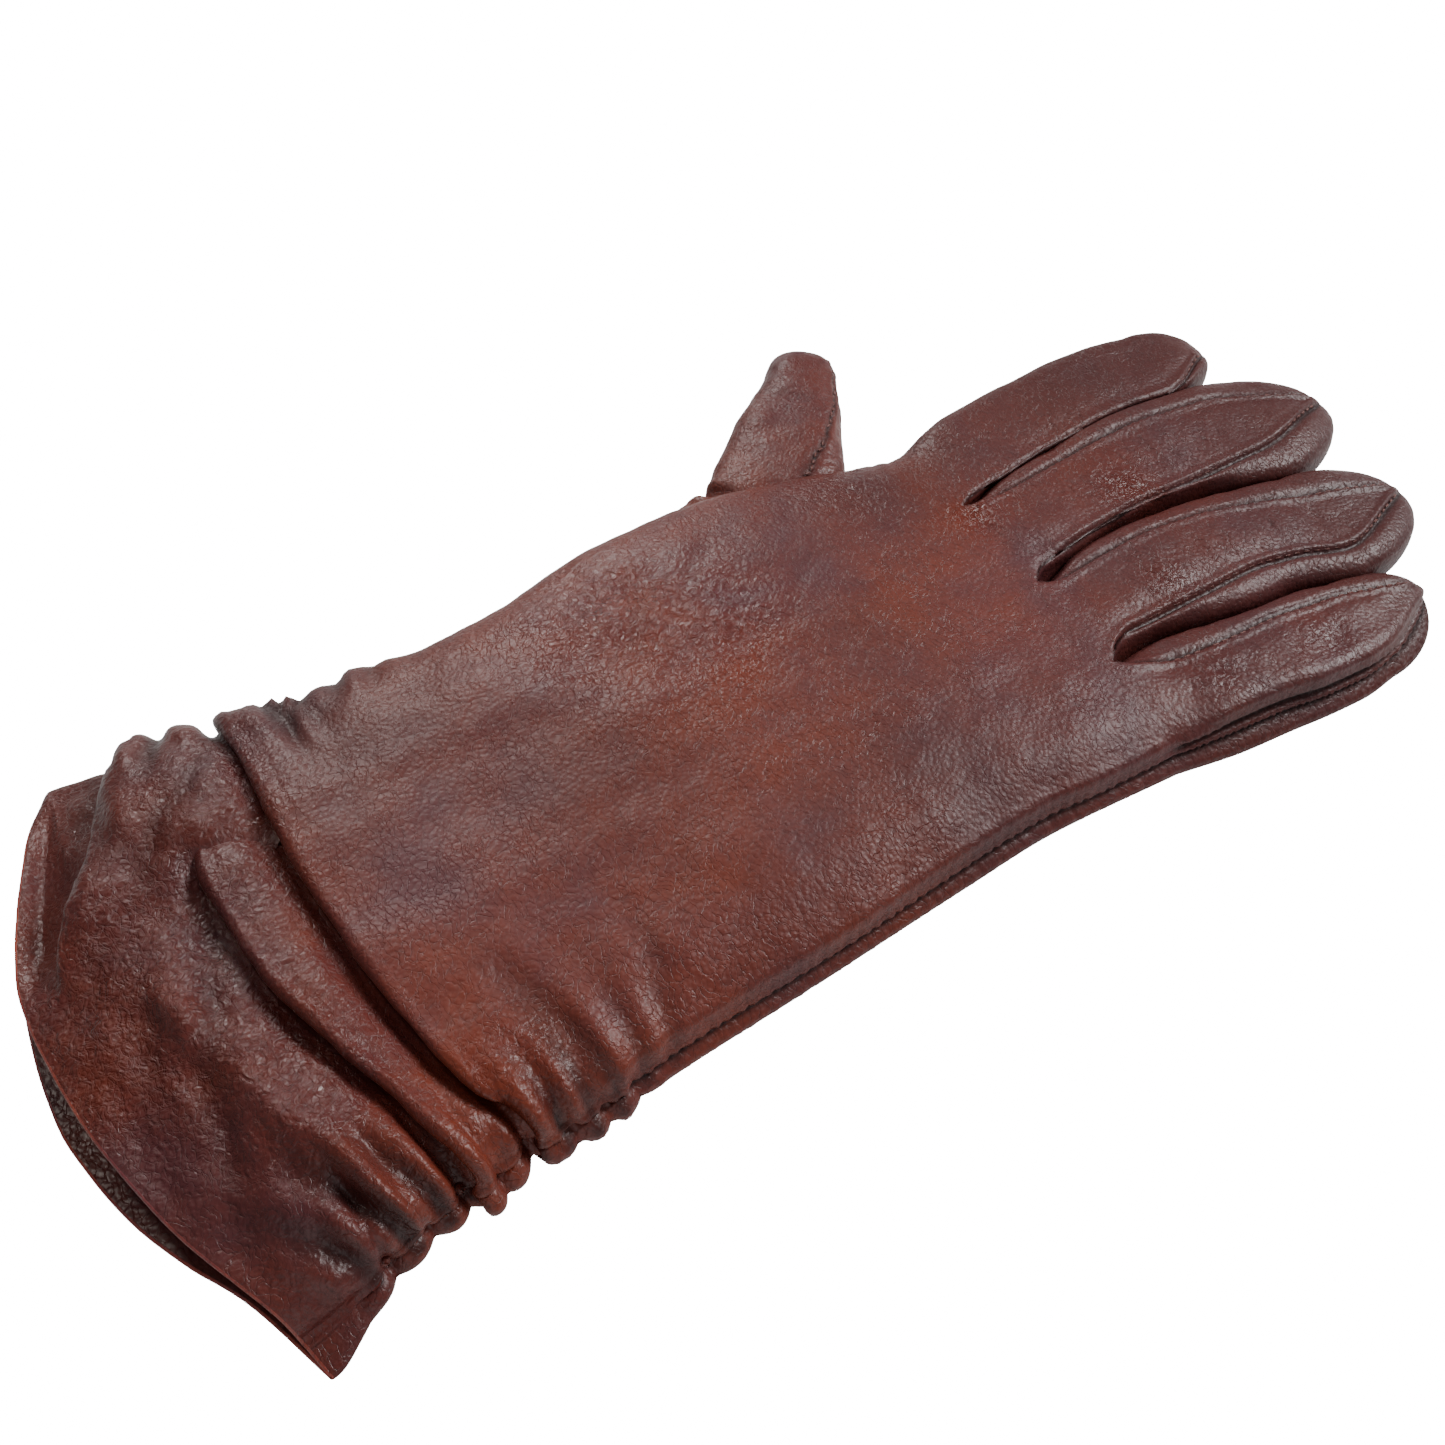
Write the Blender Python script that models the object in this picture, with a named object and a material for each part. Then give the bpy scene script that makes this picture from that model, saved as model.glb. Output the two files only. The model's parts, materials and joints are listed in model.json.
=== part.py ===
"""A right-hand leather dress glove with a gathered wrist, lying palm down.

+X runs from the cuff to the fingertips, +Y to the thumb side, +Z up from the surface it lies on. The origin is
under the middle of the palm. The glove is built as it is sewn: back and palm panels, a gusset strip on each side of
a finger, a thumb in two pieces, a lining, a wrist in overlapping pleats, and elastic along both sides of the wrist.
Every finger folds where it joins the hand and again at its middle, and the pleated wrist stretches lengthwise.
Sizes are in millimetres until MM turns them into metres.
"""

import math

import bmesh
import bpy
from mathutils import Vector

MM = 0.001

# What the pieces are cut from, and how close they come.
LEATHER = 0.8
LINING = 0.4
PLY_GAP = 0.35
SEAM_GAP = 0.4
FOLD_GAP = 0.5
FINGER_GAP = 0.6

# The fingers, from the thumb side across: width at the base and at the middle, thickness at the base and near the
# tip, length, the angle that it leans by, and how far its middle bows to the thumb side.
FINGERS = {
    "index": dict(base=17.6, middle=18.0, thick=12.0, tip_thick=10.5, length=77, lean=2.0, bow=4.0, sides="n"),
    "middle": dict(base=22.4, middle=24.2, thick=11.0, tip_thick=9.5, length=86, lean=0.5, bow=3.6, sides="fn"),
    "ring": dict(base=23.2, middle=25.2, thick=10.5, tip_thick=9.0, length=83, lean=-2.8, bow=2.2, sides="fn"),
    "little": dict(base=21.3, middle=21.8, thick=10.0, tip_thick=8.5, length=67, lean=-2.6, bow=-0.6, sides="f"),
}
FINGER_BASE_X = 47.0
FINGER_FOLD_SHARE = 0.46
TIP_ROUND = 15.0
TIP_HOLE = 0.09
FOLD_BACK_DEG = 15.0
CUT_SLANT_DEG = FOLD_BACK_DEG / 2 + 1

# The thumb, which leaves the palm panel under the hand's edge.
THUMB = dict(base=27.0, middle=21.0, thick=8.4, tip_thick=9.5, length=46, bow=0.0)
THUMB_X = 17.0
THUMB_ANGLE_DEG = 45.4
THUMB_MOUTH_FLOOR = 1.6
THUMB_MOUTH_REACH = 9.0
THUMB_STAND_OFF = 1.2

# The hand and the wrist: distance along the glove, thumb-side edge, little-finger-side edge, and the levels of the
# underside and the top.
KNUCKLE_FAR_Y = 47.3
KNUCKLE_THICK = 12.5
SECTIONS = [
    (-142.0, 53.0, -60.0, 0.0, 12.0),
    (-124.0, 50.0, -55.0, 0.0, 14.8),
    (-110.0, 47.6, -51.6, 0.0, 16.4),
    (-95.0, 47.0, -49.0, 0.0, 17.6),
    (-80.0, 45.8, -47.4, 0.0, 16.4),
    (-62.0, 46.0, -45.5, 0.0, 15.0),
    (-38.0, 49.5, -43.5, 0.0, 15.0),
    (-18.0, 54.0, -42.4, 0.0, 15.0),
    (2.0, 56.0, -41.4, 0.0, 14.5),
    (28.0, 50.5, -39.2, 0.0, 13.5),
]

# Each edge line crosses the glove as a curve: its place at mid-width, its slant and its bulge.
HAND_LIP = (-91.0, -7.0, 3.0)
PLEAT_LIP = (-104.5, -8.0, 5.0)
CUFF_END_BACK = (-137.0, -3.0, 17.0)
CUFF_END_PALM = (-140.5, -4.0, 21.0)
TUCK = 9.0
TUCK_GAP = 0.6
FLARE_RUN = 12.0
SIDE_SEAM_START_X = -60.0

# Elastic along both sides of the wrist, and the thread of the side seam.
ELASTIC_WIDTH = 4.0
ELASTIC_THICK = 1.0
ELASTIC_X = (-104.0, -64.0)
ELASTIC_STAND_OFF = 8.0
THREAD_RADIUS = 0.25

# How many points a shape gets.
FINGER_STATIONS = 5
TIP_STATIONS = 8
HAND_STATIONS = 12
LINING_FROM_STATION = 3
PLEAT_STATIONS = 7
CUFF_STATIONS = 9
FACING_STATIONS = 4
BODY_ANGLES = 13

ROUNDNESS = 2.6
BODY_ROUNDNESS = 3.4
FLAT_SHARE = 1.05
BACK_SEAM_DEG = 52.0
SIDE_SEAM_DEG = 180.0

LEATHER_COLOUR = (0.125, 0.042, 0.032)
LINING_COLOUR = (0.16, 0.075, 0.055)
ELASTIC_COLOUR = (0.55, 0.50, 0.45)
THREAD_COLOUR = (0.03, 0.012, 0.01)


def clear_scene():
    """Remove what the file opened with."""
    for obj in list(bpy.data.objects):
        bpy.data.objects.remove(obj)


def material(name, colour, roughness):
    """A plain dielectric finish."""
    made = bpy.data.materials.new(name)
    made.use_nodes = True
    shader = made.node_tree.nodes["Principled BSDF"]
    shader.inputs["Base Color"].default_value = (*colour, 1.0)
    shader.inputs["Roughness"].default_value = roughness
    shader.inputs["Metallic"].default_value = 0.0
    return made


def power(value, exponent):
    """A power that keeps the sign."""
    return math.copysign(abs(value) ** exponent, value)


def between(low, high, count):
    """Evenly spaced values from low to high, both included."""
    return [low + (high - low) * i / (count - 1) for i in range(count)]


def smooth(share):
    """Ease in and out between 0 and 1."""
    share = min(1.0, max(0.0, share))
    return share * share * (3 - 2 * share)


def sheet(name, outer, inner, finish, parent=None):
    """One closed piece between two grids of points of the same size, outer and inner, both in millimetres."""
    mesh = bpy.data.meshes.new(name)
    shape = bmesh.new()
    faces = [[shape.verts.new(Vector(p) * MM) for p in row] for row in outer]
    backs = [[shape.verts.new(Vector(p) * MM) for p in row] for row in inner]
    rows, columns = len(outer), len(outer[0])
    for i in range(rows - 1):
        for j in range(columns - 1):
            shape.faces.new((faces[i][j], faces[i + 1][j], faces[i + 1][j + 1], faces[i][j + 1]))
            shape.faces.new((backs[i][j], backs[i][j + 1], backs[i + 1][j + 1], backs[i + 1][j]))
    rim = [(i, 0) for i in range(rows)]
    rim += [(rows - 1, j) for j in range(1, columns)]
    rim += [(i, columns - 1) for i in range(rows - 2, -1, -1)]
    rim += [(0, j) for j in range(columns - 2, 0, -1)]
    for (i, j), (k, m) in zip(rim, rim[1:] + rim[:1]):
        shape.faces.new((faces[i][j], backs[i][j], backs[k][m], faces[k][m]))
    bmesh.ops.recalc_face_normals(shape, faces=shape.faces)
    bmesh.ops.triangulate(shape, faces=shape.faces)
    shape.to_mesh(mesh)
    shape.free()
    mesh.materials.append(finish)
    mesh.shade_smooth()
    mesh.set_sharp_from_angle(angle=math.radians(35))
    made = bpy.data.objects.new(name, mesh)
    bpy.context.scene.collection.objects.link(made)
    if parent is not None:
        made.parent = parent
        made.matrix_parent_inverse = parent.matrix_world.inverted()
    return made


def empty(name, place, turn_deg=0.0, parent=None):
    """A pivot on a fold's line; its Y axis lies along the line."""
    made = bpy.data.objects.new(name, None)
    bpy.context.scene.collection.objects.link(made)
    made.location = Vector(place) * MM
    made.rotation_euler = (0, 0, math.radians(turn_deg))
    bpy.context.view_layer.update()
    if parent is not None:
        world = made.matrix_world.copy()
        made.parent = parent
        made.matrix_parent_inverse = parent.matrix_world.inverted()
        made.matrix_world = world
        bpy.context.view_layer.update()
    return made


class Digit:
    """The closed tube of one finger or of the thumb, from its base line to its tip."""

    def __init__(self, name, sizes, base, angle_deg, skew_deg=0.0):
        self.name = name
        self.sizes = sizes
        self.base = Vector((*base, 0.0))
        angle = math.radians(angle_deg)
        self.angle_deg = angle_deg
        self.forward = Vector((math.cos(angle), math.sin(angle), 0.0))
        self.across = Vector((-math.sin(angle), math.cos(angle), 0.0))
        self.skew = math.tan(math.radians(skew_deg))

    def half_width(self, along):
        """Half the width, before the tip rounds off."""
        share = along / self.sizes["length"]
        base, middle = self.sizes["base"] / 2, self.sizes["middle"] / 2
        return base + (middle - base) * smooth(share / 0.45) - 0.12 * middle * smooth((share - 0.55) / 0.4)

    def thickness(self, along):
        """The full thickness, before the tip rounds off."""
        thick, tip = self.sizes["thick"], self.sizes["tip_thick"]
        return thick + (tip - thick) * smooth(along / self.sizes["length"])

    def point(self, along, angle_deg, inset=0.0, slant=0.0, skew=0.0):
        """A point of the tube's wall, inset from the outside; slant leans a cut edge back as it rises."""
        angle = math.radians(angle_deg)
        flat_x, flat_z = power(math.cos(angle), 2 / ROUNDNESS), power(math.sin(angle), 2 / ROUNDNESS)
        length = self.sizes["length"]
        rise = 0.0
        for _ in range(3):
            from_tip = max(0.0, length - inset - along - rise)
            round_off = 1.0
            if from_tip < TIP_ROUND:
                round_off = math.sqrt(max(TIP_HOLE**2, 1 - (1 - from_tip / TIP_ROUND) ** 2))
            half = (self.half_width(along) - inset) * round_off
            side = half * flat_x
            middle = self.thickness(along) / 2
            up = (middle - inset) * round_off**0.8 * flat_z
            rise = slant * (middle + up) + skew * self.skew * side
        reach = along + rise
        share = min(1.0, max(0.0, reach / length))
        bow = self.sizes["bow"] * 4 * share * (1 - share)
        return self.base + self.forward * reach + self.across * (bow + side) + Vector((0, 0, middle + up))

    def grid(self, start, end, angles, inset, slant=0.0, skewed=False):
        """Points of the wall from start to end and over a list of angles; a half with a tip ends inset from it."""
        has_tip = end >= self.sizes["length"]
        stations = TIP_STATIONS if has_tip else FINGER_STATIONS
        last = end - inset if has_tip else end
        rows = []
        for step, share in enumerate(between(0.0, 1.0, stations)):
            reach = 1 - (1 - share) ** 1.6 if has_tip else share
            skew = 1 - share if skewed else 0.0
            lean = slant if step == 0 else 0.0
            along = start + (last - start) * reach
            rows.append([self.point(along, angle, inset, lean, skew) for angle in angles])
        return rows

    def seam_angles(self, start_deg, end_deg, count):
        """Angles of one strip, pulled in at both seams so that neighbours keep the seam's gap."""
        radius = (self.sizes["base"] + self.sizes["thick"]) / 4
        pull = math.degrees(SEAM_GAP / 2 / radius)
        return between(start_deg + pull, end_deg - pull, count)

    def centre(self, along):
        """The tube's middle line, on the surface that the glove lies on."""
        share = along / self.sizes["length"]
        bow = self.sizes["bow"] * 4 * share * (1 - share)
        return self.base + self.forward * along + self.across * bow


def sections_at(sections, x):
    """Thumb-side edge, little-finger-side edge, underside and top at a place along the glove."""
    if x <= sections[0][0]:
        return sections[0][1:]
    for low, high in zip(sections, sections[1:]):
        if x <= high[0]:
            share = (x - low[0]) / (high[0] - low[0])
            return tuple(a + (b - a) * share for a, b in zip(low[1:], high[1:]))
    return sections[-1][1:]


def edge_line(line, cross):
    """The x of an edge line at a share across the glove, +1 at the thumb side and -1 at the little finger's."""
    middle, slant, bulge = line
    return middle + slant * cross + bulge * cross * cross


def body_point(sections, x, angle_deg, inset):
    """A point of the hand's or the wrist's wall at an angle round its section; its underside is flat."""
    far, near, bottom, top = sections_at(sections, x)
    angle = math.radians(angle_deg)
    flat_y = power(math.cos(angle), 2 / BODY_ROUNDNESS)
    flat_z = power(math.sin(angle), 2 / BODY_ROUNDNESS)
    if flat_z < 0:
        flat_z = max(-1.0, flat_z * FLAT_SHARE)
    middle, half = (top + bottom) / 2, (top - bottom) / 2
    y = (far + near) / 2 + ((far - near) / 2 - inset) * flat_y
    return Vector((x, y, middle + (half - inset) * flat_z))


def body_grid(sections, start_line, end_line, angles, depth, stations, slant=0.0, tuck=None):
    """Points of a wall between two edge lines; slant leans the last edge back as it rises. tuck gives how deep the
    wall lies under the band before it, from how far a point is along its own band and that band's length there."""
    rows = []
    for step, share in enumerate(between(0.0, 1.0, stations)):
        row = []
        for angle in angles:
            cross = math.cos(math.radians(angle))
            start, end = edge_line(start_line, cross), edge_line(end_line, cross)
            x = start * (1 - share) + end * share
            inset = depth + (tuck(start - x, start - end) if tuck else 0.0)
            point = body_point(sections, x, angle, inset)
            if step == stations - 1:
                point = body_point(sections, x - slant * point.z, angle, inset)
            row.append(point)
        rows.append(row)
    return rows


def digits():
    """The four fingers side by side along the finger base line."""
    made, edge = {}, KNUCKLE_FAR_Y
    for name, sizes in FINGERS.items():
        middle = edge - sizes["base"] / 2
        made[name] = Digit(name, sizes, (FINGER_BASE_X, middle), sizes["lean"])
        edge -= sizes["base"] + FINGER_GAP
    return made, edge + FINGER_GAP


def straight(x):
    """An edge line that crosses the glove square."""
    return (x, 0.0, 0.0)


def build_digit(digit, parent, strips, fold_axis_deg, leather, lining, skewed=False):
    """Both halves of a finger, each on its own pivot: the leather strips and a lining tube inside them."""
    length = digit.sizes["length"]
    fold = length * FINGER_FOLD_SHARE
    slant = math.tan(math.radians(CUT_SLANT_DEG)) if not skewed else 0.0
    base_pivot = empty(f"{digit.name}_base_fold", digit.base, fold_axis_deg, parent)
    middle_pivot = empty(f"{digit.name}_middle_fold", digit.centre(fold), digit.angle_deg, base_pivot)
    halves = (
        ("lower", FOLD_GAP, fold - FOLD_GAP, slant, base_pivot, skewed),
        ("upper", fold + FOLD_GAP, length, 0.0, middle_pivot, False),
    )
    inner = LEATHER + PLY_GAP
    for half, start, end, lean, pivot, skew in halves:
        for piece, (low, high, count) in strips.items():
            angles = digit.seam_angles(low, high, count)
            outside = digit.grid(start, end, angles, 0.0, lean, skew)
            inside = digit.grid(start, end, angles, LEATHER, lean, skew)
            sheet(f"{digit.name}_{piece}_{half}", outside, inside, leather, pivot)
        lining_tube(f"{digit.name}_lining_{half}", digit, start, end, inner, lean, skew, lining, pivot)
    return base_pivot, middle_pivot


def lining_tube(name, digit, start, end, inset, slant, skewed, finish, parent):
    """The knitted tube inside a finger, closed all round and open at both ends."""
    angles = between(0.0, 360.0, 13)[:-1]
    mesh = bpy.data.meshes.new(name)
    shape = bmesh.new()
    walls = []
    for depth in (inset, inset + LINING):
        grid = digit.grid(start, end, angles, depth, slant, skewed)
        walls.append([[shape.verts.new(p * MM) for p in row] for row in grid])
    outer, inner = walls
    rows, columns = len(outer), len(angles)
    for i in range(rows - 1):
        for j in range(columns):
            k = (j + 1) % columns
            shape.faces.new((outer[i][j], outer[i + 1][j], outer[i + 1][k], outer[i][k]))
            shape.faces.new((inner[i][j], inner[i][k], inner[i + 1][k], inner[i + 1][j]))
    for row in (0, rows - 1):
        for j in range(columns):
            k = (j + 1) % columns
            shape.faces.new((outer[row][j], outer[row][k], inner[row][k], inner[row][j]))
    bmesh.ops.recalc_face_normals(shape, faces=shape.faces)
    bmesh.ops.triangulate(shape, faces=shape.faces)
    shape.to_mesh(mesh)
    shape.free()
    mesh.materials.append(finish)
    mesh.shade_smooth()
    made = bpy.data.objects.new(name, mesh)
    bpy.context.scene.collection.objects.link(made)
    made.parent = parent
    made.matrix_parent_inverse = parent.matrix_world.inverted()
    return made


def build_fingers(parent, leather, lining):
    """Four fingers: a back strip, a palm strip and a gusset strip where a neighbour is."""
    made, near_edge = digits()
    for name, digit in made.items():
        far_side = "f" in digit.sizes["sides"]
        near_side = "n" in digit.sizes["sides"]
        back = (BACK_SEAM_DEG if far_side else 0.0, 180 - BACK_SEAM_DEG if near_side else SIDE_SEAM_DEG)
        palm = (180 + BACK_SEAM_DEG if near_side else SIDE_SEAM_DEG, 360 - BACK_SEAM_DEG if far_side else 360.0)
        strips = {"back": (*back, 6), "palm": (*palm, 6)}
        if far_side:
            strips["far_gusset"] = (-BACK_SEAM_DEG, BACK_SEAM_DEG, 5)
        if near_side:
            strips["near_gusset"] = (180 - BACK_SEAM_DEG, 180 + BACK_SEAM_DEG, 5)
        build_digit(digit, parent, strips, digit.angle_deg, leather, lining)
    return near_edge


def hand_sections(near_edge):
    """The hand's sections, ending at the finger base line."""
    return SECTIONS + [(FINGER_BASE_X - FOLD_GAP, KNUCKLE_FAR_Y, near_edge, 0.0, KNUCKLE_THICK)]


def build_thumb(parent, sections, leather, lining):
    """The thumb lies beside the palm, and its mouth follows the hand's edge."""
    far = sections_at(sections, THUMB_X)[0]
    span = THUMB["base"] / 2
    ahead = sections_at(sections, THUMB_X + span)[0]
    behind = sections_at(sections, THUMB_X - span)[0]
    edge_deg = math.degrees(math.atan2(ahead - behind, 2 * span))
    bulge = far - (ahead + behind) / 2
    skew_deg = edge_deg + 90 - THUMB_ANGLE_DEG
    base = (THUMB_X, far + THUMB_STAND_OFF + max(0.0, bulge))
    digit = Digit("thumb", THUMB, base, THUMB_ANGLE_DEG, -skew_deg)
    strips = {"back": (-BACK_SEAM_DEG + 90, 180.0, 7), "palm": (180.0, 360 - BACK_SEAM_DEG + 90, 10)}
    build_digit(digit, parent, strips, edge_deg - 90, leather, lining, skewed=True)


def thumb_mouth_cutter(sections, parent):
    """The round-ended notch that lets the thumb into the palm panel's edge."""
    far = sections_at(sections, THUMB_X)[0]
    half = THUMB["base"] / 2 - LEATHER
    shape = bmesh.new()
    bmesh.ops.create_cone(
        shape, cap_ends=True, segments=24, radius1=half * MM, radius2=half * MM, depth=(THUMB["thick"] * 2) * MM
    )
    mesh = bpy.data.meshes.new("thumb_mouth_cutter")
    shape.to_mesh(mesh)
    shape.free()
    cutter = bpy.data.objects.new("thumb_mouth_cutter", mesh)
    bpy.context.scene.collection.objects.link(cutter)
    cutter.location = Vector((THUMB_X, far, THUMB["thick"] + THUMB_MOUTH_FLOOR)) * MM
    cutter.scale = (1.0, THUMB_MOUTH_REACH / half, 1.0)
    cutter.parent = parent
    cutter.hide_render = True
    cutter.display_type = "WIRE"
    return cutter


def build_hand(sections, leather, lining, parent):
    """Back and palm panels with the lining inside. The palm's edge is cut away where the thumb is let in."""
    end = straight(FINGER_BASE_X - FOLD_GAP)
    slant = math.tan(math.radians(CUT_SLANT_DEG))
    pull = math.degrees(SEAM_GAP / (KNUCKLE_THICK / 2)) / 2
    back_angles = between(pull, 180 - pull, BODY_ANGLES)
    palm_angles = between(180 + pull, 360 - pull, BODY_ANGLES)
    mouth = thumb_mouth_cutter(sections, parent)
    for name, first, finish, depth, thick in (
        ("panel", 0, leather, 0.0, LEATHER),
        ("lining", LINING_FROM_STATION, lining, LEATHER + PLY_GAP, LINING),
    ):
        for side, angles in (("back", back_angles), ("palm", palm_angles)):
            outside = body_grid(sections, HAND_LIP, end, angles, depth, HAND_STATIONS, slant)
            inside = body_grid(sections, HAND_LIP, end, angles, depth + thick, HAND_STATIONS, slant)
            made = sheet(f"hand_{side}_{name}", outside[first:], inside[first:], finish, parent)
            if side == "palm":
                cut = made.modifiers.new("thumb_mouth", "BOOLEAN")
                cut.operation = "DIFFERENCE"
                cut.solver = "EXACT"
                cut.object = mouth


def pleat_tuck(along, length):
    """The pleat lies one layer down under the hand's lip, and comes up to the outside at its own lip."""
    return (LEATHER + TUCK_GAP) * min(1.0, (length - along) / (length - TUCK))


def cuff_tuck(along, _length):
    """The cuff starts two layers down, lies one layer down at the pleat's lip, and comes up to the outside."""
    if along < TUCK:
        return (LEATHER + TUCK_GAP) * (2 - along / TUCK)
    return (LEATHER + TUCK_GAP) * max(0.0, 1 - (along - TUCK) / FLARE_RUN)


def build_band(name, sections, lines, parent, leather, stations, tuck, depth=0.0, last=None):
    """One overlapping band of the wrist, as a back and a palm piece; lines are its start and its two ends."""
    height = sections[1][4] - sections[1][3]
    pull = math.degrees(SEAM_GAP / (height / 2)) / 2
    for side, low, high in (("back", 0.0, 180.0), ("palm", 180.0, 360.0)):
        angles = between(low + pull, high - pull, BODY_ANGLES)
        start, end = lines["start"], lines[side]
        outside = body_grid(sections, start, end, angles, depth, stations, tuck=tuck)
        inside = body_grid(sections, start, end, angles, depth + LEATHER, stations, tuck=tuck)
        first = 0 if last is None else stations - last
        sheet(name.format(side=side), outside[first:], inside[first:], leather, parent)


def shifted(line, distance):
    """The same edge line moved along the glove."""
    return (line[0] + distance, line[1], line[2])


def build_wrist(sections, leather, pleat_parent, cuff_parent):
    """The two overlapping bands behind the hand, and the facing turned in at the open end."""
    pleat = {"start": shifted(HAND_LIP, TUCK), "back": PLEAT_LIP, "palm": PLEAT_LIP}
    build_band("pleat_{side}_band", sections, pleat, pleat_parent, leather, PLEAT_STATIONS, pleat_tuck)
    cuff = {"start": shifted(PLEAT_LIP, TUCK), "back": CUFF_END_BACK, "palm": CUFF_END_PALM}
    build_band("cuff_{side}_panel", sections, cuff, cuff_parent, leather, CUFF_STATIONS, cuff_tuck)
    inner = LEATHER + PLY_GAP
    name = "cuff_{side}_facing"
    build_band(name, sections, cuff, cuff_parent, leather, CUFF_STATIONS, cuff_tuck, inner, FACING_STATIONS)


def build_elastic(sections, finish, parent):
    """A flat elastic inside each side of the wrist, held off from the deepest band."""
    for name, side in (("thumb", 1), ("little", -1)):
        rows = []
        for x in between(*ELASTIC_X, 3):
            far, near, bottom, top = sections_at(sections, ELASTIC_X[1])
            y = (far if side > 0 else near) - side * ELASTIC_STAND_OFF
            low, high = (top + bottom - ELASTIC_WIDTH) / 2, (top + bottom + ELASTIC_WIDTH) / 2
            rows.append([(x, y, low), (x, y, high)])
        outer = [[(x, y + side * ELASTIC_THICK, z) for x, y, z in row] for row in rows]
        sheet(f"wrist_elastic_{name}_side", outer, rows, finish, parent)


def build_side_thread(sections, finish, parent):
    """The thread of the long seam down the little finger's side of the hand."""
    curve = bpy.data.curves.new("side_seam_thread", "CURVE")
    curve.dimensions = "3D"
    curve.bevel_depth = THREAD_RADIUS * MM
    curve.bevel_resolution = 1
    curve.use_fill_caps = True
    stops = between(SIDE_SEAM_START_X, FINGER_BASE_X - 4, 12)
    spline = curve.splines.new("POLY")
    spline.points.add(len(stops) - 1)
    for point, x in zip(spline.points, stops):
        _far, near, bottom, top = sections_at(sections, x)
        place = Vector((x, near - THREAD_RADIUS - PLY_GAP, (top + bottom) / 2)) * MM
        point.co = (*place, 1.0)
    curve.materials.append(finish)
    made = bpy.data.objects.new("side_seam_thread", curve)
    bpy.context.scene.collection.objects.link(made)
    made.parent = parent


def main():
    clear_scene()
    leather = material("leather", LEATHER_COLOUR, 0.42)
    lining = material("lining", LINING_COLOUR, 0.85)
    elastic = material("elastic", ELASTIC_COLOUR, 0.8)
    thread = material("thread", THREAD_COLOUR, 0.6)
    hand = empty("hand", (0, 0, 0))
    pleat = empty("pleat_slide", (0, 0, 0), parent=hand)
    cuff = empty("cuff_slide", (0, 0, 0), parent=hand)
    near_edge = build_fingers(hand, leather, lining)
    sections = hand_sections(near_edge)
    build_hand(sections, leather, lining, hand)
    build_thumb(hand, sections, leather, lining)
    build_wrist(sections, leather, pleat, cuff)
    build_elastic(sections, elastic, hand)
    build_side_thread(sections, thread, hand)


main()
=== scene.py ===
"""A right-hand leather dress glove lying palm down, with a gathered wrist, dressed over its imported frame."""

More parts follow.
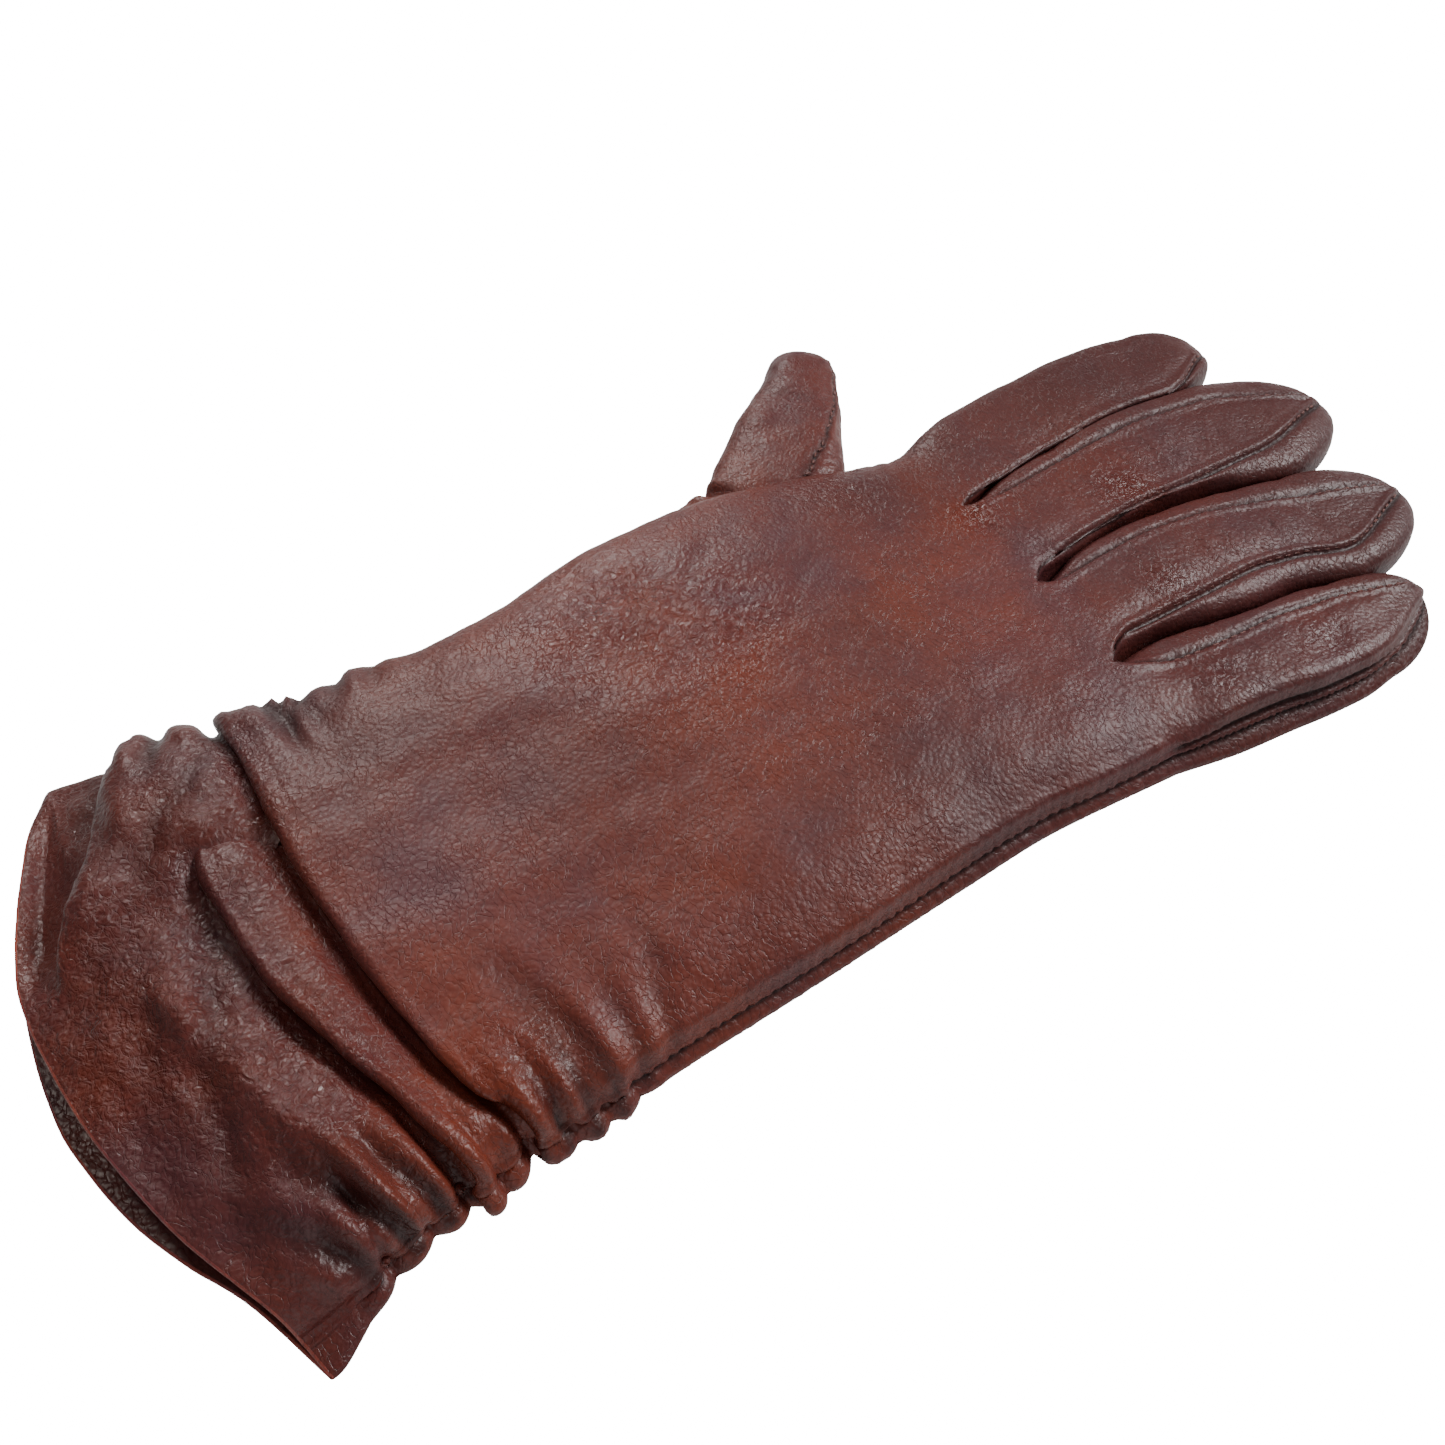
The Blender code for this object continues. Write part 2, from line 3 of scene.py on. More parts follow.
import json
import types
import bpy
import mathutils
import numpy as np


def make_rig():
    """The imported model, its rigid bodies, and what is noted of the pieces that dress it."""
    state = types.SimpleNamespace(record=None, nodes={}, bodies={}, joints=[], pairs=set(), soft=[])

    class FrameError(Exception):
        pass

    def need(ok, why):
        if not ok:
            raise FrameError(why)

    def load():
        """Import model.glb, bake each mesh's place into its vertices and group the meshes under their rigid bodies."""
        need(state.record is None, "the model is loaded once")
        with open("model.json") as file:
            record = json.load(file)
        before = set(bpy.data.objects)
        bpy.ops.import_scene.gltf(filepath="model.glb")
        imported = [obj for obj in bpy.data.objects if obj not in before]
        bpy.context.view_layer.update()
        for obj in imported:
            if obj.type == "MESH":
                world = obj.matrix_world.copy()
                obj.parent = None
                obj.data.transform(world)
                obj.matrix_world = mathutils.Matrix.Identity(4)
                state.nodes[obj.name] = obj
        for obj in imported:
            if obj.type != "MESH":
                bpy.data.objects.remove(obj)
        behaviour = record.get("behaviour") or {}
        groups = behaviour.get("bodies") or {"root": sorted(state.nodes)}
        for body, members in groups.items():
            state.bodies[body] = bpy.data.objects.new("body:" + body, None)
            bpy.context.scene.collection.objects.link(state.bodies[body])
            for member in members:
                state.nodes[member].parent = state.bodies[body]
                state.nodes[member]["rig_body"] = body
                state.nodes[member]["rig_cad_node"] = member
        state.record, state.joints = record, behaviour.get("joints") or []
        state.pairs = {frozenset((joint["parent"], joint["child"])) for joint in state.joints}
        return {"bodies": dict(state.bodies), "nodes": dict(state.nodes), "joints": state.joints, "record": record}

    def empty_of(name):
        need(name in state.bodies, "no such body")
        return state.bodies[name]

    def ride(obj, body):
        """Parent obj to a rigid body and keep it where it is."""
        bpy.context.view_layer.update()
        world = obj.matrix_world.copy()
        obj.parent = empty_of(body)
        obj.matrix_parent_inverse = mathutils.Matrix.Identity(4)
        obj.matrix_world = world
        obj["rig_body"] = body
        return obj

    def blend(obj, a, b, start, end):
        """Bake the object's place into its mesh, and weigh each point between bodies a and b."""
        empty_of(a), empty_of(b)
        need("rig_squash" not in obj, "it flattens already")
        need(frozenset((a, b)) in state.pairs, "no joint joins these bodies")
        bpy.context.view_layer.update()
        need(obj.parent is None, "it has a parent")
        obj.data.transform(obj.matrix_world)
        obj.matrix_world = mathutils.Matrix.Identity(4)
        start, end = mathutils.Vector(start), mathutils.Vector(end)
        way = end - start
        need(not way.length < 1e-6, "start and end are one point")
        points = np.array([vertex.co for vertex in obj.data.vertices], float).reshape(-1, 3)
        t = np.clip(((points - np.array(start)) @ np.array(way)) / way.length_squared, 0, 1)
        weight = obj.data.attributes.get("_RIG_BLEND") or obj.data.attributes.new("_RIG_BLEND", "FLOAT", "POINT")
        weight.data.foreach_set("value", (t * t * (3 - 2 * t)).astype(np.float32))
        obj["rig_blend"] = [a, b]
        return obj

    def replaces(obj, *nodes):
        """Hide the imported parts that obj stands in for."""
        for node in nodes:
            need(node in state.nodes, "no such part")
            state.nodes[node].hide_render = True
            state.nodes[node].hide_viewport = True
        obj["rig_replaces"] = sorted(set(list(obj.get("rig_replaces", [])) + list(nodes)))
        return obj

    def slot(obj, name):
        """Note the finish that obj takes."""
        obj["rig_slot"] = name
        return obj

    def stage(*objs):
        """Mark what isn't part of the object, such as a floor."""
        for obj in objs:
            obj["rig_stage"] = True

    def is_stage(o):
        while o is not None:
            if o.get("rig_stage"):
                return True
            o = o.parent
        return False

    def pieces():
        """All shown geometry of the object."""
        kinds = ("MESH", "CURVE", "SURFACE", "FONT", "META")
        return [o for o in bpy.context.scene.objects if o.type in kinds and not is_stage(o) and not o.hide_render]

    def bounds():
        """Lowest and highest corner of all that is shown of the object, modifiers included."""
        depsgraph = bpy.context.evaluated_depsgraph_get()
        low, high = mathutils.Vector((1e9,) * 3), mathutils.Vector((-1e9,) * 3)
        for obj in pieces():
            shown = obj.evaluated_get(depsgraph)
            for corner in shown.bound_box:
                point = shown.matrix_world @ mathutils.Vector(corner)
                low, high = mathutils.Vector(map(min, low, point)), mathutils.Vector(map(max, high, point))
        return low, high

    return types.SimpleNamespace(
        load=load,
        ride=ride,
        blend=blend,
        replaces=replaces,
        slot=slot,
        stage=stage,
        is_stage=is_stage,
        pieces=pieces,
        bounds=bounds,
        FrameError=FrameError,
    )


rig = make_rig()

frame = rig.load()

import json
import math

import bpy
import numpy as np
from mathutils import Matrix, Vector

bl_info = {
    "name": "Leather glove",
    "version": (1, 0, 0),
    "blender": (4, 5, 0),
    "location": "View3D > Sidebar > Glove",
    "description": "Builds a gathered leather dress glove over its frame",
    "category": "Object",
}

CAD_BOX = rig.bounds()
MM = 0.001
KNUCKLE_X = 46.0
REST = 0.35  # how high the underside lies over the table

# Where the shells part, and how far before and after a joint they bend.
SPLIT_X = 64.0
THUMB_SPLIT = 31.0
KNUCKLE_BEND = (-1.0, 11.0)
MIDDLE_BEND = (-7.0, 7.0)
THUMB_BASE_BEND = (-3.0, 5.0)
THUMB_MIDDLE_BEND = (-3.5, 6.5)

# ---------------------------------------------------------------- lines and noise


def line(*knots):
    """A smooth curve through knots that never swings past them."""
    xs, ys = (np.array(side, float) for side in zip(*sorted(knots)))
    steps = np.diff(xs)
    rises = np.diff(ys) / steps
    slopes = np.concatenate([[rises[0]], np.zeros(len(xs) - 2), [rises[-1]]])
    for i in range(1, len(xs) - 1):
        if rises[i - 1] * rises[i] > 0:
            slopes[i] = 2 * rises[i - 1] * rises[i] / (rises[i - 1] + rises[i])

    def at(x):
        x = np.clip(np.asarray(x, float), xs[0], xs[-1])
        i = np.clip(np.searchsorted(xs, x) - 1, 0, len(xs) - 2)
        h = steps[i]
        t = (x - xs[i]) / h
        t2, t3 = t * t, t * t * t
        low = (2 * t3 - 3 * t2 + 1) * ys[i] + (t3 - 2 * t2 + t) * h * slopes[i]
        return low + (3 * t2 - 2 * t3) * ys[i + 1] + (t3 - t2) * h * slopes[i + 1]

    return at


def ease(x, low, high):
    """0 below low, 1 above high, and smooth between; low may be the larger."""
    t = np.clip((np.asarray(x, float) - low) / (high - low), 0, 1)
    return t * t * (3 - 2 * t)


def ripple(x, y, size, seed):
    """Smooth seeded unevenness, about -1 to 1, with features of that size in millimetres."""
    rng = np.random.default_rng(seed)
    total = 0.0
    for _ in range(7):
        turn, pitch, start = rng.uniform(0, math.tau), rng.uniform(0.6, 1.5), rng.uniform(0, math.tau)
        total = total + np.sin(math.tau / size * pitch * (x * math.cos(turn) + y * math.sin(turn)) + start)
    return total / 2.65


def hill(distance, width):
    """A smooth hill: 1 at no distance, fading over a width."""
    return np.exp(-((distance / width) ** 2))


def crease(x, y, at, turn, length, depth, width, bend, both):
    """A groove that starts at a point, runs at an angle in degrees and dies out over its length."""
    dx, dy = math.cos(math.radians(turn)), math.sin(math.radians(turn))
    along = (x - at[0]) * dx + (y - at[1]) * dy
    across = -(x - at[0]) * dy + (y - at[1]) * dx - bend * along * along / max(length, 1)
    gone = np.abs(along) if both else np.maximum(along, 0)
    fade = 1 - ease(gone, 0, length)
    if not both:
        fade = fade * ease(along, -width * 3, 0)
    spread = width * (1 + gone / length)
    return depth * fade * (hill(across, spread) - 0.18 * hill(np.abs(across) - 2 * spread, spread))


# ---------------------------------------------------------------- the glove's lines, in millimetres

FAR_EDGE = line(
    (-139, 47), (-129, 50), (-126, 53.8), (-120, 53), (-110, 51.8), (-96, 49.6), (-87, 49), (-80, 46.8),
    (-72, 48.2), (-60, 46.8), (-50, 48), (-40, 49.5), (-30, 52), (-20, 54), (-8, 55.4), (4, 55.2), (12, 54),
    (20, 52.4), (30, 50.4), (38, 48), (44, 46.7), (46, 46.9),
)
NEAR_RIDGE = line(
    (-120, -54), (-110, -52.5), (-100, -49), (-90, -48.6), (-80, -46.6), (-70, -45.6), (-60, -43.8),
    (-30, -41.5), (-10, -39.6), (10, -37.6), (20, -37.1), (30, -37.8), (46, -38),
)
NEAR_EDGE = line(
    (-139, -60), (-122, -60.5), (-116, -60), (-110, -56.3), (-103, -52.2), (-96, -50.6), (-88, -51),
    (-80, -48.6), (-70, -48), (-60, -46), (-30, -43.6), (0, -41), (20, -39.6), (46, -40.6),
)
TOP = line(
    (-141, 11.0), (-132, 12.5), (-122, 14.2), (-110, 15.8), (-95, 17.2), (-80, 16.4), (-62, 15.2),
    (-40, 15), (-18, 15.2), (4, 14.8), (28, 13.8), (46, 12.9),
)
EDGE_HEIGHT = line((-141, 2.2), (-128, 2.8), (-116, 3.6), (-100, 6), (-80, 7), (46, 7))
ROUND = line((-141, 2.1), (-120, 2.3), (-100, 2.9), (-70, 3.2), (46, 3.0))
HAND_LIP = line(
    (-60, -76), (-45, -80), (-38, -84), (-30, -87), (-20, -89.5), (-10, -91), (0, -92.5), (10, -93.5),
    (30, -94.5), (50, -96),
)
PLEAT_LIP = line(
    (-60, -86), (-42, -91.5), (-33, -94.5), (-25, -98), (-17, -101), (-8, -104), (0, -105.5), (8, -106.6),
    (15, -107.3), (26, -106), (50, -106),
)
BACK_HEM = line(
    (-61, -116), (-52, -119), (-46, -122), (-36, -127), (-25, -131), (-15, -134), (-5, -136), (5, -137.4),
    (12, -137.8), (20, -136.8), (28, -135), (35, -133), (42, -131), (54, -127),
)
PALM_HEM = line(
    (-61, -116), (-45, -123), (-35, -129.3), (-26, -134), (-16, -137.5), (-6, -139.8), (4, -140.3),
    (12, -140), (25, -138), (40, -134), (54, -128),
)
CROTCHES = (25.4, 1.9, -20.1)

# Each finger: outer lines at its widest, and the two seams of its back panel.
INDEX_MIDDLE = (
    (46, 25.4), (51, 28), (57, 29.8), (62, 31.2), (72, 32.8), (82, 34.2), (92, 34.9), (102, 34.6),
    (118, 33.6),
)
MIDDLE_RING = (
    (46, 1.9), (50, 4), (54, 5.2), (62, 7), (72, 8.2), (82, 8.4), (92, 7.6), (102, 5), (112, 2.6), (118, 2),
)
RING_LITTLE = (
    (46, -20.1), (51, -17.8), (58, -17.3), (64, -18), (72, -19.5), (82, -20.8), (89, -20.7), (95, -22),
    (104, -25),
)
FINGERS = {
    "index": dict(
        far=((46, 46.9), (60, 50.6), (70, 52), (80, 53.7), (90, 55), (98, 55.3), (112, 53.8)),
        near=INDEX_MIDDLE,
        seam_near=(
            (46, 25.4), (50, 27), (60, 29.2), (70, 31), (80, 32.2),
            (88, 33.2), (96, 33.6), (104, 33.2), (112, 33.6),
        ),
        close=110.0, tip=(124.6, 43.4), thick=12.4,
    ),
    "middle": dict(
        far=INDEX_MIDDLE,
        near=MIDDLE_RING,
        seam_far=(
            (46, 25.4), (52, 25), (60, 25.5), (70, 27),
            (80, 28.3), (90, 28.8), (100, 28.3), (118, 27.4),
        ),
        seam_near=((46, 1.9), (50, 4.6), (60, 7.2), (70, 8.6), (80, 9.6), (90, 9.5), (118, 10)),
        close=112.0, tip=(135.3, 18.0), thick=12.8,
    ),
    "ring": dict(
        far=MIDDLE_RING,
        near=RING_LITTLE,
        seam_far=(
            (46, 1.9), (50, 1.4), (60, 2.2), (75, 2.8), (84, 2.3),
            (92, 1), (100, -1), (106, -2.8), (112, -4.6),
        ),
        seam_near=(
            (46, -20.1), (50, -17), (55, -15.4), (75, -15),
            (85, -14.6), (95, -16), (105, -19), (112, -19.6),
        ),
        close=108.0, tip=(129.6, -10.0), thick=12.3,
    ),
    "little": dict(
        far=RING_LITTLE,
        near=((46, -40.6), (60, -42.8), (70, -43.5), (80, -44.3), (87, -44.5), (96, -43.4)),
        seam_far=((46, -20.1), (50, -21.6), (60, -24.2), (70, -24.8), (80, -25), (90, -26), (100, -26.6)),
        seam_near=((46, -38), (60, -38.8), (70, -39.5), (80, -41), (88, -41.2), (96, -40.6)),
        close=96.0, tip=(113.4, -31.6), thick=11.6,
    ),
}
BACK_COLUMNS = {"index": 26, "middle": 24, "ring": 24, "little": 26}
PALM_COLUMNS = {"index": 14, "middle": 12, "ring": 12, "little": 14}
WALL_COLUMNS = 11
WALL_SHARES = np.linspace(0, 1, WALL_COLUMNS + 2)[1:-1]
WIDEST = 6.2
LITTLE_EDGE = 7.0
TIP_HEIGHT = 5.2
FINGER_GAP = 0.2
TIP_GATHER = 0.55

# Creases: start, direction in degrees, length, depth, width, bend, and whether it runs both ways.
BACK_CREASES = [
    ((88.5, 19), 84, 9, 0.28, 0.9, 0.3, True), ((92, 18), 96, 8, 0.16, 0.8, -0.3, True),
    ((105, 18), 80, 8, 0.15, 0.9, 0.4, True), ((77, 14.5), 128, 7, 0.25, 0.9, 0.0, True),
    ((79, -6), 93, 8, 0.22, 0.6, 0.2, True), ((84, -6), 98, 7, 0.18, 0.6, 0.3, True),
    ((88, -5), 88, 7, 0.2, 0.7, -0.3, True), ((95, -7), 97, 8, 0.25, 0.8, 0.5, True),
    ((105, -10), 80, 7, 0.3, 1.2, 0.5, True), ((88, -33), 60, 9, 0.3, 1.4, 0.4, True),
    ((60, -29), 145, 9, 0.3, 0.9, 0.0, True), ((84, 44), 95, 6, 0.22, 0.8, 0.3, True),
    ((104, 44), 80, 7, 0.35, 1.3, 0.4, True), ((66, -8), 118, 6, 0.22, 0.8, 0.0, True),
    ((114, -13), 95, 5, 0.25, 0.7, 0.0, True), ((100, 18), 92, 5, 0.16, 0.7, 0.0, True),
    ((74, 44), 110, 6, 0.18, 0.8, 0.0, True),
]
KNUCKLE_CREASES = [
    ((46.5, 25), 168, 12, 0.3, 0.7, 0.1, False), ((46.5, 25), 198, 10, 0.26, 0.6, 0.0, False),
    ((46.5, 26), 235, 8, 0.2, 0.6, 0.0, False), ((46, 26), 140, 9, 0.2, 0.6, 0.0, False),
    ((46, 2), 172, 9, 0.26, 0.6, 0.0, False), ((46, 2), 210, 8, 0.26, 0.6, 0.0, False),
    ((46, 2), 248, 9, 0.25, 0.6, 0.0, False), ((45.5, -20), 176, 8, 0.2, 0.6, 0.0, False),
    ((45.5, -20), 235, 6, 0.18, 0.6, 0.0, False), ((43, 47), 262, 15, 0.3, 0.9, 0.15, False),
    ((40, 48), 250, 15, 0.26, 0.8, 0.1, False), ((47, 47), 275, 10, 0.22, 0.8, 0.0, False),
    ((35, 49), 240, 14, 0.2, 0.8, 0.0, False), ((31, 50), 235, 12, 0.16, 0.8, 0.0, False),
]
HAND_CREASES = [
    ((-66, -48), 96, 38, 1.6, 1.4, 0.25, False), ((-70.5, -48.5), 92, 30, 2.0, 1.4, 0.2, False),
    ((-61, -47), 86, 26, 1.0, 1.3, 0.15, False), ((-75, -49), 99, 20, 2.0, 1.3, 0.0, False),
    ((-79, -50), 108, 14, 1.6, 1.2, 0.0, False), ((-56, -46), 80, 20, 0.6, 1.3, 0.1, False),
    ((-75, 47.5), 262, 15, 1.2, 1.6, -0.2, False), ((-82, 47), 268, 18, 1.6, 1.5, 0.2, False),
    ((-88, 48), 278, 16, 1.4, 1.4, 0.2, False), ((-68, 47), 255, 14, 0.7, 1.5, 0.0, False),
    ((-85, 47), 258, 22, 1.9, 0.9, 0.3, False), ((-83, 44), 246, 18, 1.0, 0.8, 0.3, False),
    ((-87.5, 46), 268, 16, 1.2, 0.8, 0.0, False), ((-24, 29), 236, 16, 0.35, 1.6, 0.2, True),
    ((-8, 36), 222, 14, 0.3, 1.5, 0.2, True), ((6, 22), 230, 12, 0.2, 1.4, 0.0, True),
    ((20, 15), 205, 20, 0.18, 2.0, 0.0, True), ((-40, -18), 60, 20, 0.22, 2.2, 0.0, True),
    ((-52, -30), 88, 14, 0.45, 1.6, 0.2, True),
]
PLEAT_CREASES = [
    ((-84, -51), 100, 15, 2.4, 1.1, 0.0, False), ((-89, -51.5), 104, 18, 2.4, 1.1, 0.1, False),
    ((-94, -52), 106, 16, 1.8, 1.1, 0.1, False), ((-99, 49), 262, 9, 1.4, 1.2, 0.0, False),
]
CUFF_CREASES = [
    ((-94, -51), 112, 22, 2.4, 1.2, 0.15, False), ((-99, -52.5), 118, 30, 2.6, 1.3, 0.2, False),
    ((-104.5, -55), 124, 26, 2.0, 1.4, 0.2, False), ((-90, -51), 104, 18, 2.2, 1.1, 0.0, False),
    ((-110, -57), 120, 16, 0.6, 1.8, 0.2, False), ((-97.5, 49.5), 265, 12, 1.6, 1.4, 0.1, False),
    ((-106, 51), 258, 18, 1.9, 1.7, -0.25, False), ((-113, 52.5), 250, 24, 1.3, 1.8, -0.35, False),
    ((-119, 34), 262, 16, 0.9, 2.2, 0.4, True), ((-113, -8), 255, 28, 0.8, 2.2, -0.25, True),
    ((-122, -6), 262, 22, 0.6, 2.4, -0.1, True), ((-127, 6), 250, 18, 0.4, 2.2, 0.0, True),
    ((-112, 26), 240, 16, 0.6, 1.7, 0.2, True), ((-104, 34), 235, 12, 0.6, 1.6, 0.0, True),
    ((-118, -30), 262, 18, 0.6, 1.8, 0.0, True), ((-108, 20), 292, 14, 0.5, 1.6, 0.0, True),
]

# Where the leather shines and where it is dusky: middle, size and share.
SHINE_PATCHES = [
    (-26, 34, 15, 1.0), (-12, 22, 13, 1.0), (-120, 2, 15, 1.0), (-128, -6, 12, 1.0), (-108, -24, 10, 1.0),
    (46, 22, 5, 1.0), (78, 14, 6, 1.0), (62, -30, 6, 0.6), (68, -10, 5, 0.6), (-100, 30, 9, 0.6),
    (30, 44, 10, 0.6), (-78, -38, 9, 0.6), (85, -34, 6, 0.6),
]
DUSK_PATCHES = [
    (36, 38, 15, 0.6), (-44, 4, 20, 0.4), (-78, 24, 15, 0.4), (2, -24, 17, 0.3), (12, 6, 14, 0.3),
    (84, 46, 18, 0.4),
]
# The first mark holds the dark seams and painted shade in the creases.
MARKS = ("seam", "crinkle", "dusk")
SIDE_SEAM = (0.3, 1.0, 0.3)

# How the leather rolls under at each pleat: a step along the glove and a depth.
HAND_CURL = ((-0.35, 0.25), (-0.5, 0.8), (-0.35, 1.4), (0.3, 2.0), (2.0, 2.8), (6.0, 3.5), (9.0, 3.6))
PLEAT_CURL = ((-0.35, 0.25), (-0.5, 0.8), (-0.35, 1.4), (0.3, 2.0), (2.0, 2.7), (5.0, 3.2), (7.0, 3.3))


def grooves(x, y, which):
    """How deep a list of creases cuts at each point."""
    total = np.zeros_like(x)
    for spec in which:
        total = total + crease(x, y, *spec)
    return total


def patches(x, y, spots):
    """Round soft patches, each with its middle, size and share."""
    return sum(share * hill(np.hypot(x - at_x, y - at_y), size) for at_x, at_y, size, share in spots)


# ---------------------------------------------------------------- grids and meshes


def facing(points):
    """1 where rings run so that round cross along points out of the glove, -1 where it points in."""
    middle = points[len(points) // 2]
    round_ = np.roll(middle, -1, 0) - middle
    out = np.cross(round_, points[len(points) // 2 + 1] - middle)
    return 1.0 if np.sum(out * (middle - middle.mean(0))) > 0 else -1.0


def grid_normals(points, closed):
    """Outward normals of a grid of rings of points."""
    along = np.gradient(points, axis=0)
    if closed:
        round_ = (np.roll(points, -1, 1) - np.roll(points, 1, 1)) / 2
    else:
        round_ = np.gradient(points, axis=1)
    normals = np.cross(round_, along)
    length = np.linalg.norm(normals, axis=2, keepdims=True)
    return normals * facing(points) / np.maximum(length, 1e-9)


def push(points, amount, closed):
    """Move a grid outward along its normals, though never under the table."""
    moved = points + grid_normals(points, closed) * np.asarray(amount)[..., None]
    moved[..., 2] = np.maximum(moved[..., 2], 0.05)
    return moved


class Skin:
    """Vertices, faces and surface marks of one piece, gathered from grids and stitches."""

    def __init__(self):
        self.points, self.faces, self.kinds, self.marks = [], [], [], []
        self.count = 0

    def add(self, points, faces, marks, kind=0):
        """Take in points and faces; kind is the place of their finish in the list of materials."""
        self.points.append(points.reshape(-1, 3))
        self.faces += [tuple(int(i) + self.count for i in face) for face in faces]
        self.kinds += [kind] * len(faces)
        self.marks.append(marks.reshape(-1, 3))
        self.count += len(self.points[-1])

    def grid(self, points, closed, marks=None, kind=0, capped=False, flip=None):
        """Take in rows of points, joined round if closed, and filled in at the last row if capped."""
        rows, columns = points.shape[:2]
        if flip is None:
            flip = facing(points) < 0
        marks = np.zeros((rows, columns, 3)) if marks is None else marks
        faces = []
        for i in range(rows - 1):
            for j in range(columns if closed else columns - 1):
                k = (j + 1) % columns
                here, after = i * columns, (i + 1) * columns
                face = (here + j, here + k, after + k, after + j)
                faces.append((face[0], *face[:0:-1]) if flip else face)
        if capped:
            ring = [(rows - 1) * columns + j for j in range(columns)]
            faces.append(tuple(reversed(ring)) if flip else tuple(ring))
        self.add(points, faces, marks, kind)

    def stitches(self, path, lift, pitch, length, radius):
        """Small thread stitches that stand along a path."""
        path = np.asarray(path, float)
        steps = np.linalg.norm(np.diff(path, axis=0), axis=1)
        gone = np.concatenate([[0], np.cumsum(steps)])
        for start in np.arange(pitch / 2, gone[-1] - length, pitch):
            first, last = (
                np.array([np.interp(place, gone, path[:, axis]) for axis in range(3)])
                for place in (start, start + length)
            )
            centre = (first + last) / 2 + np.array(lift)
            forward = (last - first) / max(np.linalg.norm(last - first), 1e-9)
            side = np.cross(forward, [0.0, 0.0, 1.0])
            side = side / max(np.linalg.norm(side), 1e-9)
            up = np.cross(side, forward)
            body = []
            for share, size in ((-0.5, 0.25), (-0.3, 1.0), (0.3, 1.0), (0.5, 0.25)):
                for turn in range(6):
                    angle = math.tau * turn / 6
                    out = side * math.cos(angle) + up * math.sin(angle) * 0.8
                    body.append(centre + forward * share * length + out * radius * size)
            body = np.array(body)
            faces = [
                (r * 6 + c, r * 6 + (c + 1) % 6, (r + 1) * 6 + (c + 1) % 6, (r + 1) * 6 + c)
                for r in range(3)
                for c in range(6)
            ]
            faces += [tuple(range(5, -1, -1)), tuple(range(18, 24))]
            self.add(body, faces, np.zeros((24, 3)), 1)

    def mesh(self, name, materials):
        """The mesh object, with its marks as attributes."""
        points = np.concatenate(self.points) * MM
        mesh = bpy.data.meshes.new(name)
        mesh.from_pydata(points.tolist(), [], self.faces)
        marks = np.concatenate(self.marks)
        for index, mark in enumerate(MARKS):
            layer = mesh.attributes.new(mark, "FLOAT", "POINT")
            layer.data.foreach_set("value", marks[:, index].astype(np.float32))
        for finish in materials:
            mesh.materials.append(finish)
        mesh.polygons.foreach_set("material_index", self.kinds)
        mesh.shade_smooth()
        mesh.validate()
        mesh.update()
        made = bpy.data.objects.new(name, mesh)
        bpy.context.scene.collection.objects.link(made)
        return made


def joined_normals(objects):
    """Give pieces that share an edge the same normals there, so that no line shows between them."""
    totals = {}
    for obj in objects:
        for vertex in obj.data.vertices:
            key = tuple(round(c * 2e5) for c in vertex.co)
            totals.setdefault(key, Vector()).__iadd__(vertex.normal)
    for obj in objects:
        normals = []
        for vertex in obj.data.vertices:
            normals.append(totals[tuple(round(c * 2e5) for c in vertex.co)].normalized())
        obj.data.normals_split_custom_set_from_vertices(normals)


# ---------------------------------------------------------------- the hand and wrist sections


def signed_power(value, exponent):
    """A power that keeps the sign of its value, for squarish rounds."""
    return np.sign(value) * np.abs(value) ** exponent


def turn_of(y):
    """The angle round the hand's section at the knuckles that reaches a width."""
    far, near = float(FAR_EDGE(KNUCKLE_X)), float(NEAR_RIDGE(KNUCKLE_X))
    u = np.clip((y - (far + near) / 2) / ((far - near) / 2), -1, 1)
    return math.acos(float(signed_power(u, float(ROUND(KNUCKLE_X)) / 2)))


def hand_turns():
    """Angles of the top columns, with a column at each place where two fingers part."""
    stops = [0.0, *(turn_of(y) for y in CROTCHES), math.pi]
    turns = []
    for name, low, high in zip(FINGERS, stops, stops[1:]):
        share = (1 - np.cos(np.linspace(0, math.pi, BACK_COLUMNS[name]))) / 2
        blend = 0.5 * share + 0.5 * np.linspace(0, 1, BACK_COLUMNS[name])
        turns += list(low + (high - low) * blend)[: None if name == "little" else -1]
    return np.array(turns)


def palm_shares():
    """Places of the underside's columns across the glove, from the little finger's side."""
    far, near = float(FAR_EDGE(KNUCKLE_X)), float(NEAR_EDGE(KNUCKLE_X))
    stops = [0.0, *((y - near) / (far - near) for y in reversed(CROTCHES)), 1.0]
    shares = []
    for name, low, high in zip(reversed(FINGERS), stops, stops[1:]):
        shares += list(np.linspace(low, high, PALM_COLUMNS[name]))[:-1]
    return np.array(shares)


def side_profile(share):
    """How far the little finger's side stands out, from its upper ridge over a groove to its lower ridge."""
    return line((0, -0.2), (0.2, 0.1), (0.38, 1.3), (0.52, 0.3), (0.75, -0.35), (1, 0))(share)


